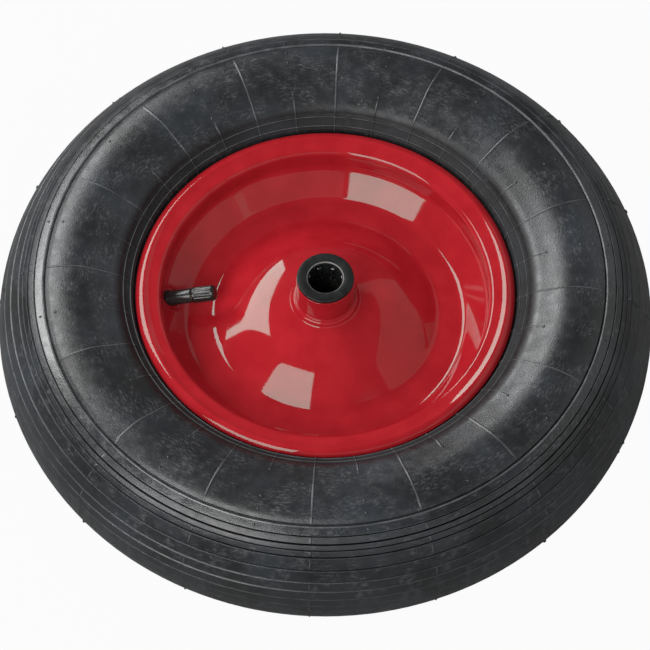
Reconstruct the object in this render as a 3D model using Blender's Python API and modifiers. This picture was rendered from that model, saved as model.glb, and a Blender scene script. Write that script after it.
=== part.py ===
"""Wheelbarrow wheel: a 400 x 100 ribbed tyre on a two-piece pressed steel rim for 8-inch beads.

The wheel lies on its side. Its axis is +Z and its origin is the wheel's centre, so the face that
carries the valve looks up. The lower half repeats the upper half without the valve hole.
Azimuths run from +X round +Z.
"""
import math

import bmesh
import bpy
from mathutils import Matrix, Vector

MM = 0.001

# Clearances between pieces that touch on the real wheel
GAP = 0.3 * MM
JOINT_GAP = 0.15 * MM
TUBE_GAP = 1.0 * MM

# Facets. An edge between faces that meet at more than the sharp angle stays crisp.
WHEEL_FACETS = 36
TUBE_FACETS = 24
HUB_FACETS = 24
ROLLER_FACETS = 10
VALVE_FACETS = 12
CAP_RIBS = 16
SHARP_ANGLE = 38

# Length by which a cutter runs past what it cuts
CUTTER_REACH = 25 * MM

# Tyre: two half ellipses meet where it is widest. One reaches to the tread, one to the beads.
TYRE_RADIUS = 200 * MM
TYRE_HALF_WIDTH = 50 * MM
TYRE_WIDEST_RADIUS = 152 * MM
SIDEWALL_ROOT = 2.4 * MM
TREAD_THICKNESS = 7 * MM
SIDEWALL_THICKNESS = 4.5 * MM
BEAD_THICKNESS = 9 * MM
GROOVE_DEPTH = 1.3 * MM
GROOVE_WIDTH = 1.5 * MM
GROOVE_ANGLES = (16, 25, 35, 50, 61)
SHOULDER_ANGLE = 66
SIDEWALL_ANGLES = (78, 90, 104, 118)
CAVITY_ANGLES = (32, 64, 96, 126)
BEAD_NOSE = 2.5 * MM
BEAD_BRIM_GAP = 0.9 * MM
BEAD_BRIM_STEP = 0.6 * MM
BEAD_RIDGE_OUT = 6.6 * MM
BEAD_RIDGE_UP = 4.9 * MM
BEAD_RIDGE_IN = 2.4 * MM
BEAD_RIDGE_FOOT = 2.2 * MM

# Inner tube, inflated against the tyre and the rim's well
TUBE_WALL = 2 * MM
TUBE_NOSE_GAP = 2 * MM
TUBE_WELL_GAP = 2.3 * MM
TUBE_SHOULDER = 0.6
TUBE_FLOOR_SLOPE = 0.6
TUBE_HOLE_DEPTH = 12 * MM

# Rim half: pressed sheet, measured on its outer face. Its radii count from the bead seat.
SHEET = 1.6 * MM
BEAD_SEAT_RADIUS = 101.6 * MM
RIM_HALF_WIDTH = 33.75 * MM
FLANGE_RISE = 8.4 * MM
FLANGE_FILLET_HEIGHT = 8.75 * MM
FLANGE_LIP_RADIUS = 6 * MM
FLANGE_LIP_SWEEP = 54
WELL_TOP_HEIGHT = 16.2 * MM
WELL_DEPTH = 14.6 * MM
WELL_FOOT_HEIGHT = 4 * MM
RING_FILLET = 3.2 * MM
RING_WIDTH = 14.5 * MM
DOME_HEIGHT = 24.6 * MM
# Dome, as shares of the way from the joint ring to the hub hole, across and up: flank, bend and crown.
DOME_SHAPE = ((0.0, 0.0), (0.455, 0.600), (0.591, 0.752), (0.728, 0.851), (1.0, 1.0))
HUB_HOLE_LAP = 3.2 * MM

# Hub tube, its welds and its roller bearings for a 20 mm axle
HUB_HALF_LENGTH = 48.4 * MM
HUB_OUTER_RADIUS = 17.75 * MM
HUB_RACE_RADIUS = 15 * MM
HUB_CHAMFER = 0.5 * MM
WELD_LEG = 3.3 * MM
WELD_SWELL = 0.56
CAGE_FLANGE_RADIUS = 17.4 * MM
CAGE_FLANGE_THICKNESS = 2.1 * MM
CAGE_FLANGE_EDGE = 0.4 * MM
CAGE_BORE_RADIUS = 10.6 * MM
CAGE_BORE_CHAMFER = 0.9 * MM
CAGE_SLEEVE_RADIUS = 14.4 * MM
CAGE_END_WALL = 1.7 * MM
ROLLER_COUNT = 8
ROLLER_RADIUS = 2.3 * MM
ROLLER_LENGTH = 12 * MM
ROLLER_PITCH_RADIUS = 12.5 * MM
ROLLER_DEPTH = 5.7 * MM
ROLLER_AZIMUTH = 20

# Valve: heights run along its own axis, from the outer face of the well wall
VALVE_AZIMUTH = 175.3
VALVE_TILT = 20
VALVE_BELOW_SEAT = 6.6 * MM
STEM_RADIUS = 4.5 * MM
STEM_HEIGHT = 12.5 * MM
STEM_FLOOR = 0.5 * MM
STEM_COLLAR_RADIUS = 5.9 * MM
STEM_COLLAR_HEIGHT = 1.6 * MM
STEM_COLLAR_LIP = 0.2 * MM
STEM_FOOT_THICKNESS = 1.2 * MM
STEM_FOOT_RADIUS = 5.5 * MM
AIR_HOLE_RADIUS = 1.2 * MM
BODY_WALL = 0.6 * MM
BODY_THREAD_RADIUS = 3.85 * MM
BODY_THREAD_LENGTH = 8 * MM
BODY_CHAMFER = 0.3 * MM
CORE_BORE_RADIUS = 2.3 * MM
CORE_WALL = 0.5 * MM
CORE_LENGTH = 8 * MM
CORE_SEAT_HEIGHT = 1.5 * MM
PIN_RADIUS = 0.5 * MM
PIN_TRAVEL = 1.5 * MM
PIN_CUP_RADIUS = 1.7 * MM
PIN_CUP_HEIGHT = 0.9 * MM
PIN_COLLAR_RADIUS = 1.1 * MM
PIN_COLLAR_HEIGHT = 0.5 * MM
SEAL_HEIGHT = 1.0 * MM
SPRING_TURNS = 4
SPRING_STEPS = 8
SPRING_WIRE_RADIUS = 0.18 * MM
SPRING_RADIUS = 1.03 * MM
CAP_RADIUS = 4.85 * MM
CAP_LENGTH = 14.4 * MM
CAP_RIB_DEPTH = 0.25 * MM
CAP_CHAMFER = 0.9 * MM
CAP_END_BAND = 1.8 * MM
CAP_COLLAR = 1.2 * MM
CAP_COLLAR_TAPER = 0.15 * MM
CAP_SEAL_THICKNESS = 1.0 * MM

# Base colour, roughness and metallic value of each material
FINISHES = {
    "tyre_rubber": ((0.030, 0.032, 0.035), 0.62, 0.0),
    "tube_rubber": ((0.020, 0.020, 0.022), 0.55, 0.0),
    "red_paint": ((0.480, 0.012, 0.018), 0.22, 0.0),
    "cage_plastic": ((0.020, 0.022, 0.022), 0.45, 0.0),
    "roller_steel": ((0.560, 0.560, 0.550), 0.25, 1.0),
    "stem_rubber": ((0.018, 0.018, 0.018), 0.40, 0.0),
    "brass": ((0.620, 0.440, 0.180), 0.30, 1.0),
    "spring_steel": ((0.500, 0.500, 0.500), 0.30, 1.0),
    "seal_rubber": ((0.060, 0.015, 0.012), 0.60, 0.0),
    "cap_plastic": ((0.015, 0.017, 0.016), 0.40, 0.0),
}


def clear_scene():
    for old in list(bpy.data.objects):
        bpy.data.objects.remove(old, do_unlink=True)


def new_collection(name):
    group = bpy.data.collections.new(name)
    bpy.context.scene.collection.children.link(group)
    return group


def material(name):
    """Principled material with the part's colour, roughness and metallic value."""
    found = bpy.data.materials.get(name)
    if found:
        return found
    colour, roughness, metallic = FINISHES[name]
    made = bpy.data.materials.new(name)
    made.use_nodes = True
    shader = made.node_tree.nodes["Principled BSDF"]
    shader.inputs["Base Color"].default_value = (*colour, 1.0)
    shader.inputs["Roughness"].default_value = roughness
    shader.inputs["Metallic"].default_value = metallic
    made.diffuse_color = (*colour, 1.0)
    return made


def evaluated_mesh(obj):
    bpy.context.view_layer.update()
    graph = bpy.context.evaluated_depsgraph_get()
    return bpy.data.meshes.new_from_object(obj.evaluated_get(graph))


def settle(obj):
    """Applies the object's modifiers, points its faces outward and shades its round faces smooth."""
    mesh = evaluated_mesh(obj)
    obj.modifiers.clear()
    obj.data = mesh
    work = bmesh.new()
    work.from_mesh(mesh)
    bmesh.ops.recalc_face_normals(work, faces=work.faces)
    work.to_mesh(mesh)
    work.free()
    mesh.shade_smooth()
    mesh.set_sharp_from_angle(angle=math.radians(SHARP_ANGLE))
    return obj


def turned(name, profile, facets, group, finish, closed=True, sheet=0.0):
    """Turns a profile of (radius, height) points about Z. An open profile is a sheet's outer face."""
    mesh = bpy.data.meshes.new(name)
    count = len(profile)
    last = count if closed else count - 1
    edges = [(i, (i + 1) % count) for i in range(last)]
    mesh.from_pydata([(r, 0.0, z) for r, z in profile], edges, [])
    mesh.materials.append(material(finish))
    obj = bpy.data.objects.new(name, mesh)
    group.objects.link(obj)
    screw = obj.modifiers.new("turn", "SCREW")
    screw.axis = "Z"
    screw.steps = facets
    screw.render_steps = facets
    screw.use_merge_vertices = True
    screw.merge_threshold = 0.000001
    if sheet:
        shell = obj.modifiers.new("sheet", "SOLIDIFY")
        shell.thickness = sheet
        shell.offset = -1
        shell.use_even_offset = True
    return settle(obj)


def cut_with(obj, cutter, operation="DIFFERENCE"):
    """Boolean of obj with cutter, applied, so that the cutter can be used again or hidden."""
    boolean = obj.modifiers.new(operation.lower(), "BOOLEAN")
    boolean.operation = operation
    boolean.solver = "EXACT"
    boolean.object = cutter
    return settle(obj)


def hide_cutter(obj):
    obj.hide_render = True
    obj.display_type = "WIRE"


def empty(name, matrix, group):
    obj = bpy.data.objects.new(name, None)
    obj.empty_display_size = 0.01
    obj.matrix_world = matrix
    group.objects.link(obj)
    return obj


def turned_over(obj):
    """Turns an upper piece about X into its place on the lower side."""
    obj.rotation_euler = (math.pi, 0, 0)
    bpy.context.view_layer.update()
    return obj


def ellipse_point(centre_r, half_r, half_z, degrees):
    angle = math.radians(degrees)
    return centre_r + half_r * math.cos(angle), half_z * math.sin(angle)


def offset_line(points, distance):
    """Moves an open outline sideways, to the right of its direction, with mitred corners."""
    moved = []
    for i, point in enumerate(points):
        here = Vector(point)
        sides = []
        if i > 0:
            sides.append((here - Vector(points[i - 1])).normalized())
        if i < len(points) - 1:
            sides.append((Vector(points[i + 1]) - here).normalized())
        normals = [Vector((side.y, -side.x)) for side in sides]
        bisector = sum(normals, Vector((0, 0))).normalized()
        stretch = distance / bisector.dot(normals[0])
        moved.append(tuple(here + bisector * stretch))
    return moved


def crest_radius():
    return BEAD_SEAT_RADIUS + FLANGE_RISE


def flange_outline():
    """Outer face of the flange, from the bead seat over the crest to the lip's edge."""
    seat = BEAD_SEAT_RADIUS - SHEET
    crest = crest_radius()
    fillet_z = RIM_HALF_WIDTH - FLANGE_FILLET_HEIGHT
    points = []
    for degrees in (180, 135, 90):
        r, z = ellipse_point(crest, crest - seat, FLANGE_FILLET_HEIGHT, degrees)
        points.append((r, fillet_z + z))
    lip_z = RIM_HALF_WIDTH - FLANGE_LIP_RADIUS
    degrees = 90 - FLANGE_LIP_SWEEP
    r, z = ellipse_point(crest, FLANGE_LIP_RADIUS, FLANGE_LIP_RADIUS, degrees)
    return points + [(r, lip_z + z)]


def well_wall():
    """Outer face of the sloping wall between the joint ring and the bead seat, foot first."""
    return [(BEAD_SEAT_RADIUS - WELL_DEPTH, WELL_FOOT_HEIGHT), (BEAD_SEAT_RADIUS - SHEET, WELL_TOP_HEIGHT)]


def joint_ring():
    """Outer face of the flat ring on which the two halves meet, dome side first."""
    outer = BEAD_SEAT_RADIUS - WELL_DEPTH - RING_FILLET
    return [(outer - RING_WIDTH, JOINT_GAP + SHEET), (outer, JOINT_GAP + SHEET)]


def dome_line():
    """Outer face of the dome, from the joint ring to the hub hole."""
    foot = Vector(joint_ring()[0])
    head = Vector((HUB_OUTER_RADIUS + GAP, DOME_HEIGHT))
    run, rise = head - foot
    return [(foot.x + run * across, foot.y + rise * up) for across, up in DOME_SHAPE]


def rim_outline():
    """Outer face of a rim half, from just inside the hub hole to the flange lip."""
    dome = dome_line()[::-1]
    edge = Vector(dome[0]) + (Vector(dome[0]) - Vector(dome[1])).normalized() * HUB_HOLE_LAP
    return [tuple(edge)] + dome + joint_ring()[1:] + well_wall() + flange_outline()


def section_reach(degrees):
    """Radial half axis of the tyre's section: towards the tread up to 90 degrees, then towards the bead."""
    if degrees > 90:
        return TYRE_WIDEST_RADIUS - BEAD_SEAT_RADIUS - SIDEWALL_ROOT
    return TYRE_RADIUS - TYRE_WIDEST_RADIUS


def tyre_section(depth, degrees):
    """Point of the tyre's section, sunk by a depth under its outer face."""
    half_r = section_reach(degrees) - depth
    return ellipse_point(TYRE_WIDEST_RADIUS, half_r, TYRE_HALF_WIDTH - depth, degrees)


def groove(degrees):
    """Three points of a V groove, listed away from the tread's centre."""
    half = math.degrees(GROOVE_WIDTH / 2 / TYRE_HALF_WIDTH)
    bottom = tyre_section(GROOVE_DEPTH, degrees)
    return [tyre_section(0, degrees - half), bottom, tyre_section(0, degrees + half)]


def cavity_point(degrees, gap=0.0):
    """Point of the tyre's inner face, or of a line inside it by a gap."""
    wall = SIDEWALL_THICKNESS if degrees > 90 else TREAD_THICKNESS
    half_r = section_reach(degrees) - wall - gap
    half_z = TYRE_HALF_WIDTH - SIDEWALL_THICKNESS - gap
    return ellipse_point(TYRE_WIDEST_RADIUS, half_r, half_z, degrees)


def closed_section(crown, half, inner_crown):
    """Closed outline, clockwise, from the half above the mid-plane and its two points on the plane."""
    lower = [(r, -z) for r, z in half]
    return [crown] + lower + [inner_crown] + half[::-1]


def bead_outline():
    """Tyre face against the rim, from the rubber beside the flange's lip down to the bead's toe."""
    seat = offset_line(flange_outline(), SHEET + GAP)
    lip_r, lip_z = flange_outline()[-1]
    beside = (lip_r + BEAD_BRIM_GAP, seat[-1][1])
    brim = (beside[0] + BEAD_BRIM_STEP, lip_z + GAP)
    toe = (seat[0][0], WELL_TOP_HEIGHT - GAP)
    return [brim, beside] + seat[::-1] + [toe]


def bead_inside():
    """Inner face of the bead, from its toe to the knee under the flange."""
    toe_r, toe_z = bead_outline()[-1]
    nose = (toe_r + BEAD_NOSE, toe_z - GAP)
    knee = (crest_radius() + GAP, RIM_HALF_WIDTH - SHEET - BEAD_THICKNESS)
    return [nose, knee]


def build_tyre(group):
    crown = groove(0)
    half = [crown[2]]
    for angle in GROOVE_ANGLES:
        half += groove(angle)
    half += [tyre_section(0, angle) for angle in (SHOULDER_ANGLE,) + SIDEWALL_ANGLES]
    bead = bead_outline()
    brim_r, brim_z = bead[0]
    half += [(brim_r + BEAD_RIDGE_OUT, brim_z + BEAD_RIDGE_UP)]
    half += [(brim_r + BEAD_RIDGE_IN, brim_z + BEAD_RIDGE_FOOT)]
    half += bead + bead_inside()
    half += [cavity_point(angle) for angle in reversed(CAVITY_ANGLES)]
    outline = closed_section(crown[1], half, cavity_point(0))
    return turned("tyre", outline, WHEEL_FACETS, group, "tyre_rubber")


def tube_half():
    """Outer face of the inner tube above the mid-plane, from its crown to its foot in the well."""
    half = [cavity_point(angle, TUBE_GAP) for angle in CAVITY_ANGLES]
    nose, knee = bead_inside()
    half += [(knee[0] + TUBE_GAP, knee[1] - TUBE_GAP), (nose[0] + TUBE_GAP, nose[1] - TUBE_NOSE_GAP)]
    foot, top = offset_line(well_wall(), SHEET + TUBE_WELL_GAP)
    shoulder = Vector(foot).lerp(Vector(top), TUBE_SHOULDER)
    return half + [tuple(shoulder)]


def build_inner_tube(group, cutters, valve_axis):
    foot = offset_line(well_wall(), SHEET + TUBE_WELL_GAP)[0]
    floor = (foot[0] + foot[1] * TUBE_FLOOR_SLOPE, 0.0)
    outline = closed_section(cavity_point(0, TUBE_GAP), tube_half(), floor)
    tube = turned("inner_tube", outline, TUBE_FACETS, group, "tube_rubber")
    hollow = tube.modifiers.new("wall", "SOLIDIFY")
    hollow.thickness = TUBE_WALL
    hollow.offset = -1
    hollow.use_even_offset = True
    hole = rod("tube_air_hole", AIR_HOLE_RADIUS, -TUBE_HOLE_DEPTH, 0.0, cutters, valve_axis)
    return cut_with(tube, hole)


def build_rim_half(name, group, hub_hole):
    """Pressed sheet with a straight hole for the hub tube pierced through its dome."""
    half = turned(name, rim_outline(), WHEEL_FACETS, group, "red_paint", closed=False, sheet=SHEET)
    return cut_with(half, hub_hole)


def build_hub_tube(group):
    end = HUB_HALF_LENGTH - CAGE_FLANGE_THICKNESS - GAP
    outer, inner, chamfer = HUB_OUTER_RADIUS, HUB_RACE_RADIUS, HUB_CHAMFER
    upper = [(inner, end - chamfer), (inner + chamfer, end), (outer - chamfer, end), (outer, end - chamfer)]
    outline = upper + [(r, -z) for r, z in reversed(upper)]
    return turned("hub_tube", outline, HUB_FACETS, group, "red_paint")


def build_hub_weld(name, group):
    """Fillet weld between the dome's top and the hub tube, a little rounded."""
    line = offset_line([dome_line()[-1], dome_line()[-2]], -GAP)
    inner = HUB_OUTER_RADIUS + GAP
    start, end = Vector(line[0]), Vector(line[1])
    slope = (end.y - start.y) / (end.x - start.x)
    bottom = start.y + slope * (inner - start.x)
    toe = (inner + WELD_LEG, bottom + slope * WELD_LEG)
    top = (inner, bottom + WELD_LEG)
    swell = (inner + WELD_LEG * WELD_SWELL, bottom + WELD_LEG * WELD_SWELL)
    return turned(name, [top, swell, toe, (inner, bottom)], HUB_FACETS, group, "red_paint")


def roller_height():
    """Height of the rollers' middle above the wheel's mid-plane."""
    return HUB_HALF_LENGTH - ROLLER_DEPTH - ROLLER_LENGTH / 2


def roller_places():
    """Azimuth, x and y of each roller round the hub."""
    for index in range(ROLLER_COUNT):
        angle = math.radians(ROLLER_AZIMUTH + 360 * index / ROLLER_COUNT)
        yield angle, ROLLER_PITCH_RADIUS * math.cos(angle), ROLLER_PITCH_RADIUS * math.sin(angle)


def window_cutter(group):
    """Boxes for the roller windows, one mesh."""
    width = 2 * (ROLLER_RADIUS + GAP)
    height = ROLLER_LENGTH + 2 * GAP
    depth = 2 * (HUB_RACE_RADIUS - CAGE_BORE_RADIUS)
    work = bmesh.new()
    for angle, x, y in roller_places():
        place = Matrix.Translation((x, y, roller_height())) @ Matrix.Rotation(angle, 4, "Z")
        bmesh.ops.create_cube(work, size=1.0, matrix=place @ Matrix.Diagonal((depth, width, height, 1)))
    mesh = bpy.data.meshes.new("cage_windows")
    work.to_mesh(mesh)
    work.free()
    cutter = bpy.data.objects.new("cage_windows", mesh)
    group.objects.link(cutter)
    hide_cutter(cutter)
    return cutter


def build_roller_cage(name, group, windows):
    """Flanged plastic cage: a sleeve in the hub tube, with a window for each roller."""
    top = HUB_HALF_LENGTH
    under = top - CAGE_FLANGE_THICKNESS
    foot = roller_height() - ROLLER_LENGTH / 2 - GAP - CAGE_END_WALL
    bore, sleeve, flange = CAGE_BORE_RADIUS, CAGE_SLEEVE_RADIUS, CAGE_FLANGE_RADIUS
    edge = CAGE_FLANGE_EDGE
    outline = [(bore + CAGE_BORE_CHAMFER, top), (flange - edge, top), (flange, top - edge)]
    outline += [(flange, under), (sleeve, under), (sleeve, foot)]
    outline += [(bore, foot), (bore, top - CAGE_BORE_CHAMFER)]
    cage = turned(name, outline, HUB_FACETS, group, "cage_plastic")
    return cut_with(cage, windows)


def build_rollers(side, sign, group):
    """Steel rollers of one cage. They share one mesh."""
    work = bmesh.new()
    bmesh.ops.create_cone(work, cap_ends=True, segments=ROLLER_FACETS, radius1=ROLLER_RADIUS,
                          radius2=ROLLER_RADIUS, depth=ROLLER_LENGTH)
    mesh = bpy.data.meshes.new(f"roller_{side}")
    work.to_mesh(mesh)
    work.free()
    mesh.shade_smooth()
    mesh.set_sharp_from_angle(angle=math.radians(SHARP_ANGLE))
    mesh.materials.append(material("roller_steel"))
    for index, (_, x, y) in enumerate(roller_places(), start=1):
        roller = bpy.data.objects.new(f"roller_{side}_{index}", mesh)
        roller.location = (x, sign * y, sign * roller_height())
        group.objects.link(roller)


def valve_frame():
    """World matrix of the valve: origin on the well wall's outer face, Z along the valve to its cap."""
    azimuth, tilt = math.radians(VALVE_AZIMUTH), math.radians(VALVE_TILT)
    outward = Vector((math.cos(azimuth), math.sin(azimuth), 0))
    up = Vector((0, 0, 1))
    foot, top = well_wall()
    radius = BEAD_SEAT_RADIUS - VALVE_BELOW_SEAT
    climb = (radius - foot[0]) / (top[0] - foot[0])
    origin = outward * radius + up * (foot[1] + (top[1] - foot[1]) * climb)
    along = -outward * math.cos(tilt) + up * math.sin(tilt)
    across = up.cross(outward)
    axes = Matrix((across, along.cross(across), along)).transposed().to_4x4()
    return Matrix.Translation(origin) @ axes


def on_valve(obj, valve_axis):
    obj.parent = valve_axis
    bpy.context.view_layer.update()
    return obj


def rod(name, radius, low, high, group, valve_axis, top_radius=None):
    """Round cutter or block on the valve's axis, from one height to another."""
    tip = radius if top_radius is None else top_radius
    outline = [(0.0, high), (tip, high), (radius, low), (0.0, low)]
    made = turned(name, outline, VALVE_FACETS, group, "stem_rubber", closed=False)
    hide_cutter(made)
    return on_valve(made, valve_axis)


def wall_slab(name, low, high, group):
    """Ring between two lines parallel to the well wall. Distances count towards the tyre."""
    foot, top = (Vector(point) for point in well_wall())
    reach = (top - foot).normalized() * CUTTER_REACH
    line = [tuple(foot - reach), tuple(top + reach)]
    outline = offset_line(line, low)[::-1] + offset_line(line, high)
    made = turned(name, outline[::-1], WHEEL_FACETS, group, "stem_rubber")
    hide_cutter(made)
    return made


def body_radius():
    return CORE_BORE_RADIUS + BODY_WALL


def build_valve_stem(group, cutters, valve_axis):
    """Rubber stem through the well wall, with a collar outside the wall and a foot on the inner tube."""
    under = SHEET + GAP + STEM_FOOT_THICKNESS
    stem = rod("valve_stem", STEM_RADIUS, -TUBE_HOLE_DEPTH, STEM_HEIGHT, group, valve_axis)
    collar = rod("stem_collar", STEM_COLLAR_RADIUS, -STEM_RADIUS, STEM_RADIUS, cutters, valve_axis,
                 STEM_RADIUS + STEM_COLLAR_LIP)
    collar = cut_with(collar, wall_slab("collar_slab", -GAP - STEM_COLLAR_HEIGHT, -GAP, cutters), "INTERSECT")
    foot = rod("stem_foot", STEM_FOOT_RADIUS, -TUBE_HOLE_DEPTH, STEM_FOOT_RADIUS, cutters, valve_axis)
    foot = cut_with(foot, wall_slab("foot_slab", SHEET + GAP, under, cutters), "INTERSECT")
    stem = cut_with(stem, wall_slab("stem_slab", -CUTTER_REACH, under, cutters), "INTERSECT")
    stem = cut_with(stem, collar, "UNION")
    stem = cut_with(stem, foot, "UNION")
    bore = rod("stem_bore", body_radius() + GAP, STEM_FLOOR, CUTTER_REACH, cutters, valve_axis)
    stem = cut_with(stem, bore)
    air = rod("stem_air_hole", AIR_HOLE_RADIUS, -CUTTER_REACH, STEM_HEIGHT, cutters, valve_axis)
    stem = cut_with(stem, air)
    stem.hide_render = False
    stem.display_type = "TEXTURED"
    return stem


def thread_base():
    return STEM_HEIGHT + GAP


def body_tip():
    return thread_base() + BODY_THREAD_LENGTH


def core_top():
    return body_tip() - GAP


def core_foot():
    return core_top() - CORE_LENGTH


def cup_top():
    return core_foot() - GAP - SEAL_HEIGHT - GAP


def pin_collar_foot():
    return core_top() - GAP - 2 * PIN_COLLAR_HEIGHT


def build_valve_body(group, valve_axis):
    """Brass tube inside the rubber stem, with the wider thread for the cap beyond it."""
    chamfer = BODY_CHAMFER
    foot = STEM_FLOOR + GAP
    chamber = cup_top() - PIN_CUP_HEIGHT - PIN_TRAVEL - GAP
    thread, outer, bore = BODY_THREAD_RADIUS, body_radius(), CORE_BORE_RADIUS
    outline = [(bore, body_tip()), (thread - chamfer, body_tip()), (thread, body_tip() - chamfer)]
    outline += [(thread, thread_base()), (outer, thread_base()), (outer, foot)]
    outline += [(AIR_HOLE_RADIUS, foot), (AIR_HOLE_RADIUS, chamber), (bore, chamber)]
    return on_valve(turned("valve_body", outline, VALVE_FACETS, group, "brass"), valve_axis)


def build_valve_core(group, valve_axis):
    """Brass barrel screwed into the valve body: a chamber for the spring over a guide for the pin."""
    outer = CORE_BORE_RADIUS - GAP
    chamber, guide = outer - CORE_WALL, PIN_RADIUS + GAP
    seat = core_foot() + CORE_SEAT_HEIGHT
    outline = [(chamber, core_top()), (outer, core_top()), (outer, core_foot())]
    outline += [(guide, core_foot()), (guide, seat), (chamber, seat)]
    return on_valve(turned("valve_core", outline, VALVE_FACETS, group, "brass"), valve_axis)


def build_valve_pin(group, valve_axis):
    top, foot = core_top() - GAP, cup_top() - PIN_CUP_HEIGHT
    collar_foot = pin_collar_foot()
    collar_top = collar_foot + PIN_COLLAR_HEIGHT
    outline = [(0.0, top), (PIN_RADIUS, top), (PIN_RADIUS, collar_top), (PIN_COLLAR_RADIUS, collar_top)]
    outline += [(PIN_COLLAR_RADIUS, collar_foot), (PIN_RADIUS, collar_foot), (PIN_RADIUS, cup_top())]
    outline += [(PIN_CUP_RADIUS, cup_top()), (PIN_CUP_RADIUS, foot), (0.0, foot)]
    pin = turned("valve_pin", outline, VALVE_FACETS, group, "brass", closed=False)
    return on_valve(pin, valve_axis)


def build_valve_seal(group, valve_axis):
    low, high = cup_top() + GAP, core_foot() - GAP
    inner, outer = PIN_RADIUS + GAP, PIN_CUP_RADIUS
    outline = [(inner, high), (outer, high), (outer, low), (inner, low)]
    return on_valve(turned("valve_seal", outline, VALVE_FACETS, group, "seal_rubber"), valve_axis)


def build_valve_spring(group, valve_axis):
    """Coil round the pin. It stands on the core's seat and ends below the pressed pin's collar."""
    low = core_foot() + CORE_SEAT_HEIGHT + GAP + SPRING_WIRE_RADIUS
    high = pin_collar_foot() - PIN_TRAVEL - GAP - SPRING_WIRE_RADIUS
    steps = SPRING_TURNS * SPRING_STEPS
    curve = bpy.data.curves.new("valve_spring", "CURVE")
    curve.dimensions = "3D"
    curve.bevel_depth = SPRING_WIRE_RADIUS
    curve.bevel_resolution = 1
    curve.use_fill_caps = True
    coil = curve.splines.new("POLY")
    coil.points.add(steps)
    for index in range(steps + 1):
        angle = 2 * math.pi * index / SPRING_STEPS
        height = low + (high - low) * index / steps
        coil.points[index].co = (SPRING_RADIUS * math.cos(angle), SPRING_RADIUS * math.sin(angle), height, 1)
    wire = bpy.data.objects.new("valve_spring_wire", curve)
    group.objects.link(wire)
    mesh = evaluated_mesh(wire)
    bpy.data.objects.remove(wire)
    work = bmesh.new()
    work.from_mesh(mesh)
    bmesh.ops.remove_doubles(work, verts=work.verts, dist=0.000001)
    work.to_mesh(mesh)
    work.free()
    mesh.materials.clear()
    mesh.materials.append(material("spring_steel"))
    spring = bpy.data.objects.new("valve_spring", mesh)
    group.objects.link(spring)
    return on_valve(settle(spring), valve_axis)


def build_valve_cap(group, valve_axis):
    """Ribbed plastic cap. Every other edge of its facets is drawn in, which leaves the ribs."""
    low, high = thread_base(), thread_base() + CAP_LENGTH
    rib_low, rib_high = low + CAP_COLLAR, high - CAP_END_BAND
    roof = body_tip() + GAP + CAP_SEAL_THICKNESS + GAP
    bore, edge = BODY_THREAD_RADIUS + GAP, CAP_RADIUS - CAP_RIB_DEPTH
    outline = [(0.0, high), (CAP_RADIUS - CAP_CHAMFER, high), (edge, high - CAP_CHAMFER)]
    outline += [(CAP_RADIUS, rib_high), (CAP_RADIUS, rib_low), (edge - CAP_COLLAR_TAPER, low), (bore, low)]
    outline += [(bore, roof), (0.0, roof)]
    cap = turned("valve_cap", outline, CAP_RIBS * 2, group, "cap_plastic", closed=False)
    for vertex in cap.data.vertices:
        radius = math.hypot(vertex.co.x, vertex.co.y)
        if abs(radius - CAP_RADIUS) > CAP_RIB_DEPTH / 4:
            continue
        step = round(math.degrees(math.atan2(vertex.co.y, vertex.co.x)) * CAP_RIBS / 180)
        if step % 2:
            shrink = (CAP_RADIUS - CAP_RIB_DEPTH) / radius
            vertex.co.x *= shrink
            vertex.co.y *= shrink
    return on_valve(cap, valve_axis)


def build_cap_seal(group, valve_axis):
    low = body_tip() + GAP
    high = low + CAP_SEAL_THICKNESS
    outline = [(0.0, high), (BODY_THREAD_RADIUS, high), (BODY_THREAD_RADIUS, low), (0.0, low)]
    seal = turned("cap_seal", outline, VALVE_FACETS, group, "seal_rubber", closed=False)
    return on_valve(seal, valve_axis)


def build_rim(group, cutters, valve_axis):
    """Two pressed halves and the hub tube, joined by a fillet weld on each side."""
    edge, deep = HUB_OUTER_RADIUS + GAP, HUB_HALF_LENGTH
    outline = [(0.0, deep), (edge, deep), (edge, -deep), (0.0, -deep)]
    hub_hole = turned("hub_hole", outline, WHEEL_FACETS, cutters, "red_paint", closed=False)
    hide_cutter(hub_hole)
    upper = build_rim_half("rim_half_upper", group, hub_hole)
    hole = rod("valve_hole", STEM_RADIUS + GAP, -STEM_HEIGHT, STEM_HEIGHT, cutters, valve_axis)
    cut_with(upper, hole)
    turned_over(build_rim_half("rim_half_lower", group, hub_hole))
    build_hub_tube(group)
    build_hub_weld("hub_weld_upper", group)
    turned_over(build_hub_weld("hub_weld_lower", group))


def build_bearings(group, cutters):
    windows = window_cutter(cutters)
    build_roller_cage("roller_cage_upper", group, windows)
    turned_over(build_roller_cage("roller_cage_lower", group, windows))
    build_rollers("upper", 1, group)
    build_rollers("lower", -1, group)


def build_valve(group, cutters, valve_axis):
    build_valve_stem(group, cutters, valve_axis)
    build_valve_body(group, valve_axis)
    build_valve_core(group, valve_axis)
    build_valve_pin(group, valve_axis)
    build_valve_seal(group, valve_axis)
    build_valve_spring(group, valve_axis)
    build_valve_cap(group, valve_axis)
    build_cap_seal(group, valve_axis)


def main():
    clear_scene()
    wheel = new_collection("wheelbarrow_wheel")
    cutters = new_collection("cutters")
    valve_axis = empty("valve_axis", valve_frame(), cutters)
    build_tyre(wheel)
    build_inner_tube(wheel, cutters, valve_axis)
    build_rim(wheel, cutters, valve_axis)
    build_bearings(wheel, cutters)
    build_valve(wheel, cutters, valve_axis)


main()
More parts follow.
